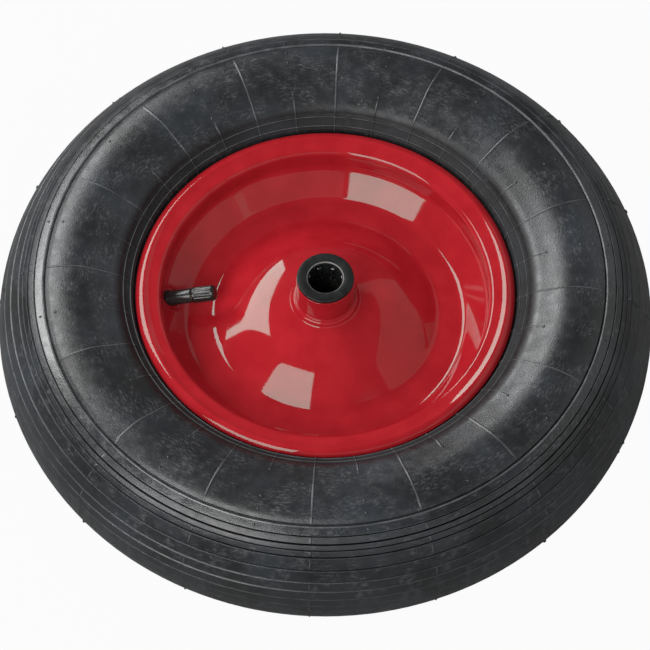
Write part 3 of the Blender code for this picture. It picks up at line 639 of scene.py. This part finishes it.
# %% Mould lines
LONG_LINES = -2.8 + 22.5 * np.arange(16)
SHORT_LINES = 8.45 + 22.5 * np.arange(16)
LINE_HALF, LINE_HEIGHT, TICK_HEIGHT = 0.17, 0.55, 0.9
ON_WALL, NEAR_BEAD = [(68.5, 120)], [(113, 120)]
ON_RIBS = [(54.6, 58.4), (45.3, 48.6), (35.2, 43.2), (17.5, 23.7), (1, 7)]
COLUMN_STEP, CLEAR_OF_LINE, LINE_COLUMNS = 2.5, 0.5, np.array([-2.0, -1.0, 0.0, 1.0, 2.0])


def from_lines(azimuths, lines):
    """Angle from each azimuth to the nearest line, the short way round."""
    return np.abs((azimuths[:, None] - lines[None, :] + 180) % 360 - 180).min(1)


def raised(azimuths, lines, places):
    """1 on a mould line, falling to 0 at half a line's width away, and only in some places of the section."""
    there = np.max([inside(place, limits) for limits in places], 0).astype(float)
    return np.clip(1 - from_lines(azimuths, lines) / LINE_HALF, 0, 1)[:, None] * there[None, :]


lines = np.concatenate([LONG_LINES, SHORT_LINES]) % 360
plain = np.arange(0, 360, COLUMN_STEP)
beside_lines = (lines[:, None] + LINE_HALF * LINE_COLUMNS[None, :]).ravel() % 360
columns = np.sort(np.concatenate([plain[from_lines(plain, lines) > CLEAR_OF_LINE], beside_lines]))
lift = (LINE_HEIGHT * raised(columns, LONG_LINES, ON_WALL)
        + TICK_HEIGHT * raised(columns, LONG_LINES, ON_RIBS)
        + LINE_HEIGHT * raised(columns, SHORT_LINES, NEAR_BEAD))
moved = section[None] + section_normal[None] * lift[..., None]
tyre_points = round_axle(moved[..., 0], moved[..., 1], np.radians(columns)[:, None]).reshape(-1, 3) * MM
tyre_faces = grid_faces(len(columns), len(section), True, True)
print("tyre grid:", len(columns), "columns")

# %% [markdown]
# Vent pips
#
# Each vent of the mould leaves a stub of rubber that is trimmed to a low dome. Instances of one dome
# would do it, but the export wants plain meshes, so all the domes are worked out at once as one array:
# ring k of a dome has radius R cos(k) and height R sin(k) / 2 over the tyre's surface.

# %% Vent pips
# PIP_HIGHLIGHT is painted highlight on the top ring of each pip
PIP_RADIUS, PIP_ROUND, PIP_RINGS, PIP_FLATNESS, PIP_SINK, PIP_HIGHLIGHT = 0.95, 10, 3, 0.5, 0.05, 0.5
PIP_ANGLES = np.array([62.6, 74.3, 84.0, 110.2])


def pips():
    """Points and faces of the domes: one at each pip angle, on the azimuths of the short lines and on both
    sidewalls. A point is the centre + across x along + beside x the cross direction + height x normal."""
    t, az, side = (g.ravel() for g in np.meshgrid(PIP_ANGLES, np.radians(SHORT_LINES), [1.0, -1.0],
                                                  indexing="ij"))
    r, z = tyre_face(t).T
    n_r, n_z = np.cos(np.radians(t)) / TYRE_HALF[0], np.sin(np.radians(t)) / TYRE_HALF[1]
    n_r, n_z = n_r / np.hypot(n_r, n_z), side * n_z / np.hypot(n_r, n_z)
    centre, normal = round_axle(r, side * z, az), round_axle(n_r, n_z, az)
    along = np.stack([-np.sin(az), np.cos(az), 0 * az], -1)
    k = np.linspace(0, np.pi / 2, PIP_RINGS + 1)
    ring = np.append(np.cos(k[:-1]), 0.0)[:, None] * PIP_RADIUS
    round_angle = np.linspace(0, 2 * np.pi, PIP_ROUND, endpoint=False)[None, :]
    u, v = ring * np.cos(round_angle), ring * np.sin(round_angle)
    h = PIP_FLATNESS * PIP_RADIUS * np.sin(k)[:, None] - PIP_SINK + 0 * u
    grid = centre[:, None, None] + sum(length[None, ..., None] * way[:, None, None] for length, way in (
        (u, along), (v, np.cross(normal, along)), (h, normal)))
    shift = np.arange(len(t)) * (PIP_RINGS + 1) * PIP_ROUND
    quads = grid_faces(PIP_RINGS + 1, PIP_ROUND, False, True)[None] + shift[:, None, None]
    closing = np.arange(PIP_ROUND)[::-1][None] + shift[:, None]
    return grid.reshape(-1, 3) * MM, quads.reshape(-1, 4).tolist() + closing.tolist()


pip_points, pip_faces = pips()
pip_count = len(PIP_ANGLES) * len(SHORT_LINES) * 2
pip_rings = np.tile(np.repeat(np.arange(PIP_RINGS + 1), PIP_ROUND), pip_count)
print("pips:", pip_count)

# %% [markdown]
# One piece of rubber
#
# Lines and pips are part of the moulding, so grid and domes go into one mesh, and the marks of both are
# joined in the same order. A mould line is lighter, partly from wear and partly as a painted highlight; a
# pip's top is lighter as a painted highlight, and its foot is darker as painted shade.

# %% Tyre
flat_mark = 0 * lift
# Mould lines and pip tops: wear and painted highlight; pip feet: painted shade
marks = {"wear_and_highlight": np.append(np.maximum(wear_and_highlight_line + flat_mark, np.minimum(lift / LINE_HEIGHT, 1)),
                           PIP_HIGHLIGHT * (pip_rings == PIP_RINGS)),
         "painted_shade": np.append(shade_line + flat_mark, np.maximum(1 - pip_rings, 0.0)),
         "polish": np.append(polish_line + flat_mark, 0.0 * pip_rings)}
joined = tyre_faces.tolist() + [[v + len(tyre_points) for v in f] for f in pip_faces]
piece("tyre_rubber_body", np.vstack([tyre_points, pip_points]), joined, TYRE_RUBBER, replaces=("tyre",),
      marks=marks)

# %% [markdown]
# The rim
#
# Each half of the rim is a sheet of steel, pressed into a dish: a lip that rolls over the tyre's bead, a
# straight seat, a sloping wall, a flat ring on which the two halves meet, and a low dome that climbs to
# the hub. The sheet's outer face is drawn first. Its other face lies one sheet's thickness further in,
# measured along the normal, so the wall is even everywhere.

# %% Curves of the pressed sheet
SHEET = 1.6
JOINT_FACE = 1.75
DOME_FOOT, DOME_TOP = np.array([69.3, JOINT_FACE]), np.array([18.05, 24.6])
CROWN_TILT, FLANK_TILT, BEND = 14.0, 30.2, (28.6, 53.4)


def climb(r, tilt):
    """Height along a line of a given tilt in degrees: the running sum of tan(tilt) over the radius."""
    slope = np.tan(np.radians(tilt))
    return np.append(0, np.cumsum((slope[1:] + slope[:-1]) / 2 * np.diff(r)))


def dome_line(count):
    """Dome from the hub to its foot: a flat crown and a steeper flank. The tilt changes from one to the
    other over the bend as 3u^2 - 2u^3, and the fall is scaled to begin and end at the right heights."""
    r = np.linspace(DOME_TOP[0], DOME_FOOT[0], count)
    u = np.clip((r - BEND[0]) / (BEND[1] - BEND[0]), 0, 1)
    fall = climb(r, CROWN_TILT + (FLANK_TILT - CROWN_TILT) * (3 * u ** 2 - 2 * u ** 3))
    return np.stack([r, DOME_TOP[1] - fall * (DOME_TOP[1] - DOME_FOOT[1]) / fall[-1]], -1)


def arc(centre, radius, start, end, count):
    """Points of a circle about a centre, between two angles in degrees."""
    a = np.radians(np.linspace(start, end, count))
    return np.stack([centre[0] + radius * np.cos(a), centre[1] + radius * np.sin(a)], -1)


def corner(before, at, after, reach_b, reach_a, count):
    """Quadratic curve that leaves the line from before and joins the line to after, round a corner."""
    before, at, after = (np.array(p, float) for p in (before, at, after))
    start = at + (before - at) / np.linalg.norm(before - at) * reach_b
    end = at + (after - at) / np.linalg.norm(after - at) * reach_a
    return quadratic(start, at, end, np.linspace(0, 1, count)[:, None])


CREST = np.array([(105.5, 12), (106.8, 15), (107.8, 19), (109.0, 23), (110.0, 25), (110.5, 14), (110.8, 0),
                  (111.1, -14), (111.6, -20), (112.6, -24), (113.6, -30), (114.6, -42), (115.5, -58),
                  (115.8, -64)])
CREST_START = 32.1


def flange_crest(count):
    """Rolled edge of the flange, from its tilt at each radius: two nearly straight flanks that meet in a
    tight round top."""
    r = np.linspace(CREST[0, 0], CREST[-1, 0], count)
    return np.stack([r, CREST_START + climb(r, np.interp(r, CREST[:, 0], CREST[:, 1]))], -1)


print("crest of the flange:", round(float(flange_crest(32)[:, 1].max()), 2), "mm above the middle")

# %% Profile of the pressed sheet
WALL_FOOT, WALL_TOP = np.array([87.0, 4.0]), np.array([100.0, 16.2])
FOOT_REACH, WALL_REACH, SEAT_TOP = 3.4, 3.0, (100, 25)
BEND_CENTRE, BEND_RADIUS = (103.9, 27.86), 3.9
wall_way = (WALL_TOP - WALL_FOOT) / np.linalg.norm(WALL_TOP - WALL_FOOT)
RING_EDGE = WALL_FOOT - wall_way * (WALL_FOOT[1] - JOINT_FACE) / wall_way[1]
dome = dome_line(56)
dome = dome[np.linalg.norm(dome - DOME_FOOT, axis=1) > FOOT_REACH + 0.2]
outer_face = np.vstack([
    dome,
    corner(dome[-1], DOME_FOOT, RING_EDGE, FOOT_REACH, FOOT_REACH, 11),
    corner(DOME_FOOT, RING_EDGE, WALL_TOP, WALL_REACH, WALL_REACH, 9),
    np.linspace(WALL_FOOT + wall_way, WALL_TOP - wall_way * (WALL_REACH + 0.4), 40),
    corner(WALL_FOOT, WALL_TOP, SEAT_TOP, WALL_REACH, WALL_REACH, 9),
    arc(BEND_CENTRE, BEND_RADIUS, 180, 100, 14),
    flange_crest(32)])
outer_face = outer_face[apart(outer_face, 0.02)]
tangent = np.gradient(outer_face, axis=0)
tangent /= np.linalg.norm(tangent, axis=1, keepdims=True)
inner_face = outer_face + SHEET * np.stack([tangent[:, 1], -tangent[:, 0]], -1)
sheet_line = np.vstack([outer_face, inner_face[::-1]])
print("rim profile:", len(sheet_line), "points")

# %% [markdown]
# The lower half
#
# Both halves come out of the same press, so the lower one is the same profile turned round the axle and
# then over. A half turn about the x axis is used, not a mirror, so no face ends up inside out.

# %% Lower rim half
RIM_STEPS = 192
TURN_OVER = np.array([1, -1, -1])
lower_rim = turn(sheet_line * MM, RIM_STEPS) * TURN_OVER
piece("rim_lower", lower_rim, grid_faces(RIM_STEPS, len(sheet_line), True, True), RED_PAINT,
      replaces=("rim_half_lower",))

# %% [markdown]
# The hole for the valve
#
# The upper half has a hole in its sloping wall, in a shallow round dimple that was pressed with it. A
# boolean cut would do it, but it leaves long thin faces that catch the light on gloss paint. Here the
# grid gets finer columns near the valve, the points inside the dimple sink along the wall's normal, and
# the cells inside the hole are left out, which gives the sheet a real edge there.

# %% Where the valve sits
VALVE_AZIMUTH, VALVE_TILT, VALVE_RADIUS = np.radians(175.3), np.radians(20), 95.0
outward = round_axle(1, 0, VALVE_AZIMUTH)
VALVE_FOOT = outward * VALVE_RADIUS + np.array([0, 0, WALL_FOOT[1] + (VALVE_RADIUS - WALL_FOOT[0])
                                                * wall_way[1] / wall_way[0]])
VALVE_AXIS = -outward * np.cos(VALVE_TILT) + np.array([0, 0, np.sin(VALVE_TILT)])
ACROSS = np.cross([0, 0, 1], outward)
UPHILL = np.cross(VALVE_AXIS, ACROSS)
WALL_NORMAL = np.array([*(-wall_way[1] * outward[:2]), wall_way[0]])


def from_valve_axis(points):
    """Distance of points from the valve's axis, in millimetres: what is left of the way from its foot
    once the part along the axis is taken away."""
    way = points - VALVE_FOOT
    return np.linalg.norm(way - (way @ VALVE_AXIS)[..., None] * VALVE_AXIS, axis=-1)


print("valve foot:", np.round(VALVE_FOOT, 2), "axis:", np.round(VALVE_AXIS, 3))

# %% [markdown]
# A wall with openings
#
# Sheet with holes and cages with windows are the same thing: two surfaces a little apart, closed along
# every edge. A Solidify modifier gives one thickness only, so the faces are listed here from the cells of
# the two grids, and any cell may be left out.

# %% Wall with openings


def wall_faces(solid):
    """Faces of a wall between two grids of (rows x columns + 1) points, outer points numbered first. Solid
    says for each cell whether the wall is there. A solid cell has an outer and an inner face, and an edge
    face wherever the cell beside it is empty. The rows go round and close."""
    rows, cells = solid.shape
    number = np.arange(rows * (cells + 1)).reshape(rows, cells + 1)
    near, far = number, np.roll(number, -1, 0)
    inner = number.size
    a, b, c, d = near[:, :-1], near[:, 1:], far[:, 1:], far[:, :-1]
    closed = np.pad(solid, ((0, 0), (1, 1)))
    made = [np.stack([a, b, c, d], -1)[solid], np.stack([d, c, b, a], -1)[solid] + inner]
    for edge, beside in (((a, d), closed[:, :-2]), ((b, c), closed[:, 2:]), ((a, b), np.roll(solid, 1, 0)),
                         ((d, c), np.roll(solid, -1, 0))):
        first, second = edge
        open_side = solid & ~beside
        made.append(np.stack([first, second, second + inner, first + inner], -1)[open_side])
    return np.vstack(made)


middle_only = np.eye(3, dtype=bool) & (np.arange(3) == 1)
print("one solid cell in a 3 x 3 wall has", len(wall_faces(middle_only)), "faces")

# %% [markdown]
# The upper half
#
# The points of the upper half sink into the dimple by 3s^2 - 2s^3 of its depth, where s is the share of
# the way from its edge to its flat floor, and a low lip stands round the edge where the press drew the
# steel. A cell whose middle lies inside the hole's radius is left out.

# %% Upper rim half
HOLE_RADIUS, DIMPLE_FLAT, DIMPLE_EDGE, DIMPLE_DEPTH = 4.6, 7.0, 7.9, 0.6
LIP_HEIGHT, LIP_WIDTH = 0.25, 0.5
FINE_REACH, FINE_STEP, NEAR_VALVE, WALL_FROM = 6.0, 0.25, 15, 80
valve_degrees = np.degrees(VALVE_AZIMUTH)
coarse = np.linspace(0, 360, RIM_STEPS, endpoint=False)
coarse = coarse[np.abs(coarse - valve_degrees) > FINE_REACH + 0.5]
fine = valve_degrees + np.arange(-FINE_REACH, FINE_REACH + FINE_STEP / 2, FINE_STEP)
columns = np.sort(np.concatenate([coarse, fine]))
sides = []
for line in (outer_face, inner_face):
    grid = round_axle(*line.T, np.radians(columns)[:, None])
    distance = from_valve_axis(grid)
    share = np.clip((DIMPLE_EDGE - distance) / (DIMPLE_EDGE - DIMPLE_FLAT), 0, 1)
    near_wall = (np.abs(columns[:, None] - valve_degrees) < NEAR_VALVE) & (line[None, :, 0] > WALL_FROM)
    lip = LIP_HEIGHT * np.exp(-((distance - DIMPLE_EDGE) / LIP_WIDTH) ** 2)
    sink = (DIMPLE_DEPTH * share ** 2 * (3 - 2 * share) - lip) * near_wall
    sides.append(grid - sink[..., None] * WALL_NORMAL)
two_rows = sides[0] + np.roll(sides[0], -1, 0)
middles = (two_rows[:, :-1] + two_rows[:, 1:]) / 4
on_wall = (np.hypot(middles[..., 0], middles[..., 1]) > WALL_FROM) & (middles[..., 0] < 0)
solid = ~((from_valve_axis(middles) < HOLE_RADIUS) & on_wall)
rim_points = np.concatenate([side.reshape(-1, 3) for side in sides]) * MM
piece("rim_upper", rim_points, wall_faces(solid), RED_PAINT, replaces=("rim_half_upper",))

# %% [markdown]
# The hub tube and its welds
#
# A length of steel tube runs through both domes and is welded to them. Under the thick paint the weld is
# a smooth round bead that lies in the corner between dome and tube, with a soft hollow on each side of it.
# The tube is painted outside only: its bore is bare, greased steel.

# %% Hub tube and welds
TUBE_OUT, TUBE_IN, TUBE_END = 17.75, 15.0, 46.0
tube_line = rounded([(TUBE_IN, -TUBE_END, 0.2), (TUBE_OUT, -TUBE_END, 0.5), (TUBE_OUT, TUBE_END, 0.5),
                     (TUBE_IN, TUBE_END, 0.2)], 5)
TUBE_STEPS, WELD_STEPS = 96, 192
pipe = piece("hub_pipe", turn(tube_line, TUBE_STEPS), grid_faces(TUBE_STEPS, len(tube_line), True, True),
             RED_PAINT, replaces=("hub_tube",))
pipe.data.materials.append(MOTTLED["bore_steel"])
centres = np.empty(len(pipe.data.polygons) * 3)
pipe.data.polygons.foreach_get("center", centres)
bore = np.hypot(centres[0::3], centres[1::3]) < (TUBE_IN + 0.3) * MM
pipe.data.polygons.foreach_set("material_index", bore.astype(np.int32))

BEAD = [(17.7, 27.9, 0), (17.95, 26.8, 0.6), (19.6, 26.5, 1.3), (20.9, 24.0, 0.8), (22.6, 23.25, 0),
        (20.0, 23.6, 0), (17.7, 24.4, 0)]
weld = turn(rounded(BEAD, 7), WELD_STEPS)
weld_faces = grid_faces(*weld.shape[:2], True, True)
piece("weld_upper", weld, weld_faces, RED_PAINT, replaces=("hub_weld_upper",))
piece("weld_lower", weld * TURN_OVER, weld_faces, RED_PAINT, replaces=("hub_weld_lower",))

# %% [markdown]
# The roller cages
#
# Each end of the tube holds a moulded plastic cage: a sleeve with eight windows, a roller in each, and a
# flange that shows as the black ring round the axle hole. Sleeve and flange are one wall between an outer
# and an inner surface, and the windows are cells of the grid that are left out of both.

# %% Roller cages
HUB_END, ROLLER_TOP, ROLLER_LENGTH, ROLLER_RADIUS, ROLLER_PITCH = 48.4, 42.7, 12.0, 2.3, 12.5
ROLLERS, ROLLER_STEP, ROLLER_FIRST, CLEARANCE = 8, 45, 20.0, 0.3
window_low, window_high = ROLLER_TOP - ROLLER_LENGTH - CLEARANCE, ROLLER_TOP + CLEARANCE
CAGE_OUTER = [(13.9, 28.7), (14.4, 29.2), (14.4, window_low), (14.4, window_high), (14.4, 46.3),
              (17.15, 46.3), (17.4, 46.5), (17.4, 47.85), (17.27, 48.25), (16.9, HUB_END), (14.3, HUB_END)]
CAGE_INNER = [(11.0, 28.7), (10.6, 29.2), (10.6, window_low), (10.6, window_high), (10.6, 45.8), (10.6, 46.7),
              (10.6, 47.1), (10.6, 47.5), (10.86, 47.85), (11.15, 48.28), (11.4, HUB_END)]
WINDOW_CELLS, BRIDGE_CELLS, WINDOW_ROW = 6, 8, 2
CHAMFER_FROM, CHAMFER_OUT = 47.8, 11.3
window_half = np.degrees(np.arcsin((ROLLER_RADIUS + CLEARANCE) / ROLLER_PITCH))
over_window = np.linspace(-window_half, window_half, WINDOW_CELLS + 1)
over_bridge = np.linspace(window_half, ROLLER_STEP - window_half, BRIDGE_CELLS + 1)[1:-1]
around = np.concatenate([over_window, over_bridge])
roller_azimuths = ROLLER_FIRST + ROLLER_STEP * np.arange(ROLLERS)
azimuths = np.radians((roller_azimuths[:, None] + around[None, :]).ravel())
solid = np.ones((len(azimuths), len(CAGE_OUTER) - 1), bool)
solid[(np.arange(len(azimuths)) % len(around)) < WINDOW_CELLS, WINDOW_ROW] = False
walls = [round_axle(*np.array(line).T, azimuths[:, None]) * MM for line in (CAGE_OUTER, CAGE_INNER)]
cage_points = np.concatenate([w.reshape(-1, 3) for w in walls])
cage_faces = wall_faces(solid)
from_middle = np.hypot(cage_points[:, 0], cage_points[:, 1])
# Painted highlight: the chamfer's points are marked to be coloured pale
chamfer = (cage_points[:, 2] > CHAMFER_FROM * MM) & (from_middle < CHAMFER_OUT * MM)
marks = {"wear_and_highlight": chamfer.astype(float)}
piece("cage_upper_ring", cage_points, cage_faces, CAGE_PLASTIC, "cage_upper", ("roller_cage_upper",),
      marks)
piece("cage_lower_ring", cage_points * TURN_OVER, cage_faces, CAGE_PLASTIC, "cage_lower",
      ("roller_cage_lower",), marks)

# %% [markdown]
# The rollers
#
# A roller is a ground steel pin with rounded ends, a little thicker than the cage's wall, so that the axle
# runs on it. One roller is turned about its own axis and its points are moved to the eight windows.

# %% Rollers
ROLLER_FOOT, ROLLER_EDGE, ROLLER_STEPS = ROLLER_TOP - ROLLER_LENGTH, 0.35, 32
roller_line = rounded([(0, ROLLER_FOOT, 0), (ROLLER_RADIUS, ROLLER_FOOT, ROLLER_EDGE),
                       (ROLLER_RADIUS, ROLLER_TOP, ROLLER_EDGE), (0, ROLLER_TOP, 0)], 5, closed=False)
roller = turn(roller_line, ROLLER_STEPS)
roller_faces = grid_faces(ROLLER_STEPS, len(roller_line), True, False)
for index, azimuth in enumerate(np.radians(roller_azimuths)):
    moved = roller + round_axle(1, 0, azimuth) * ROLLER_PITCH * MM
    for side, flip in (("upper", np.ones(3)), ("lower", TURN_OVER)):
        node = f"roller_{side}_{index + 1}"
        piece(f"{node}_ground", moved * flip, roller_faces, MOTTLED["roller_steel"], node, (node,))

# %% [markdown]
# The valve
#
# The stem comes through the sloping wall of the rim at an angle of its own, so every height on it is
# measured along its own axis, from the point where that axis meets the wall. The rubber grips the wall
# with a collar that follows the slope: for each direction round the axis, the formula first finds how far
# along the axis the wall lies there.

# %% Valve stem


def round_valve(radius, height, angle):
    """Point at a radius from the valve's axis and a height along it, in metres."""
    side = np.cos(angle)[..., None] * ACROSS + np.sin(angle)[..., None] * UPHILL
    return (VALVE_FOOT + np.asarray(height)[..., None] * VALVE_AXIS
            + np.asarray(radius)[..., None] * side) * MM


def wall_height(radius, angle):
    """Height along the valve's axis at which the rim's wall is met, beside the axis by a radius. The wall
    is a cone: its slope gives the first term, and its curve round the axle the second."""
    side = np.cos(angle)[..., None] * ACROSS + np.sin(angle)[..., None] * UPHILL
    rise = -radius * (side @ WALL_NORMAL)
    curve = wall_way[1] * (radius * np.cos(angle)) ** 2 / (2 * VALVE_RADIUS)
    return (rise + curve) / (VALVE_AXIS @ WALL_NORMAL)


STEM_STEPS, STEM_SINK = 96, 4.6
angle = np.linspace(0, 2 * np.pi, STEM_STEPS, endpoint=False)[:, None]
STEM_ON_WALL = np.array([(5.5, -4.6), (5.5, -2.6), (4.75, -2.4), (4.7, -0.9), (5.05, -0.7), (5.1, -0.1),
                         (5.0, 0.6), (4.75, 1.4), (4.6, 2.6)])
STEM_ABOVE = np.array([(4.5, 8.5), (4.46, 13.6), (4.35, 14.3), (3.95, 14.75), (3.2, 14.8), (3.2, 0.5),
                       (1.2, 0.5), (1.2, -4.0)])
low_height = wall_height(STEM_ON_WALL[None, :, 0], angle) + STEM_ON_WALL[None, :, 1]
stem_radius = np.concatenate([STEM_ON_WALL[:, 0], STEM_ABOVE[:, 0]])[None, :] + 0 * angle
stem_height = np.hstack([low_height, STEM_ABOVE[None, :, 1] + 0 * angle])
stem_height[:, -1] = wall_height(stem_radius[:, -1:], angle)[:, 0] - STEM_SINK
stem = round_valve(stem_radius, stem_height, angle + 0 * stem_radius)
piece("stem_sleeve", stem, grid_faces(*stem.shape[:2], True, True), MOTTLED["stem_rubber"],
      replaces=("valve_stem",))

# %% [markdown]
# The valve cap
#
# The cap is a ribbed plastic tube with a flat end. Each rib could be a bevelled bar on a cylinder, but
# moulded ribs flow into the body, so the radius itself has a ripple: it falls by the rib's depth times
# (0.5 - 0.5 cos(ribs x angle))^1.5, fading out towards both ends.

# %% Valve cap
CAP_LOW, CAP_RIBS, RIB_DEPTH, RIBS_FROM, RIBS_TO, RIB_FADE = 15.1, 16, 0.42, 1.3, 12.6, 0.6
CAP_STEPS, OUTSIDE_FROM = CAP_RIBS * 12, 4.5
CAP_LINE = np.array([(4.15, 7.3), (4.15, 0.3), (4.35, 0), (4.5, 0), (4.68, 0.18), (4.82, 0.95), (4.76, 1.2),
                     (4.76, 1.4), (4.85, 1.8), (4.85, 12.1), (4.76, 12.5), (4.68, 12.7), (4.62, 13.4),
                     (4.3, 14.0), (3.85, 14.32), (3.4, 14.4)]) + np.array([0, CAP_LOW])
angle = np.linspace(0, 2 * np.pi, CAP_STEPS, endpoint=False)[:, None]
up_cap = CAP_LINE[:, 1] - CAP_LOW
ribbed = np.clip((up_cap - RIBS_FROM) / RIB_FADE, 0, 1) * np.clip((RIBS_TO - up_cap) / RIB_FADE, 0, 1)
ribbed = ribbed * (CAP_LINE[:, 0] > OUTSIDE_FROM)
valley = RIB_DEPTH * (0.5 - 0.5 * np.cos(CAP_RIBS * angle)) ** 1.5
cap_radius = CAP_LINE[None, :, 0] - ribbed[None, :] * valley
cap_height = CAP_LINE[None, :, 1] + 0 * angle
cap_points = round_valve(cap_radius, cap_height, angle + 0 * cap_radius).reshape(-1, 3)
cap_points = np.vstack([cap_points, round_valve(np.zeros(2), CAP_LINE[[0, -1], 1], np.zeros(2))])
cap_grid = grid_faces(CAP_STEPS, len(CAP_LINE), True, False)
first = np.arange(CAP_STEPS) * len(CAP_LINE)
following = np.roll(first, -1)
middle = np.full_like(first, len(cap_points) - 2)
roof = np.stack([first, following, middle], -1)
end = np.stack([first + len(CAP_LINE) - 1, following + len(CAP_LINE) - 1, middle + 1], -1)
piece("cap_ribbed", cap_points, cap_grid.tolist() + roof.tolist() + end.tolist(), MOTTLED["cap_plastic"],
      "cap", ("valve_cap",))
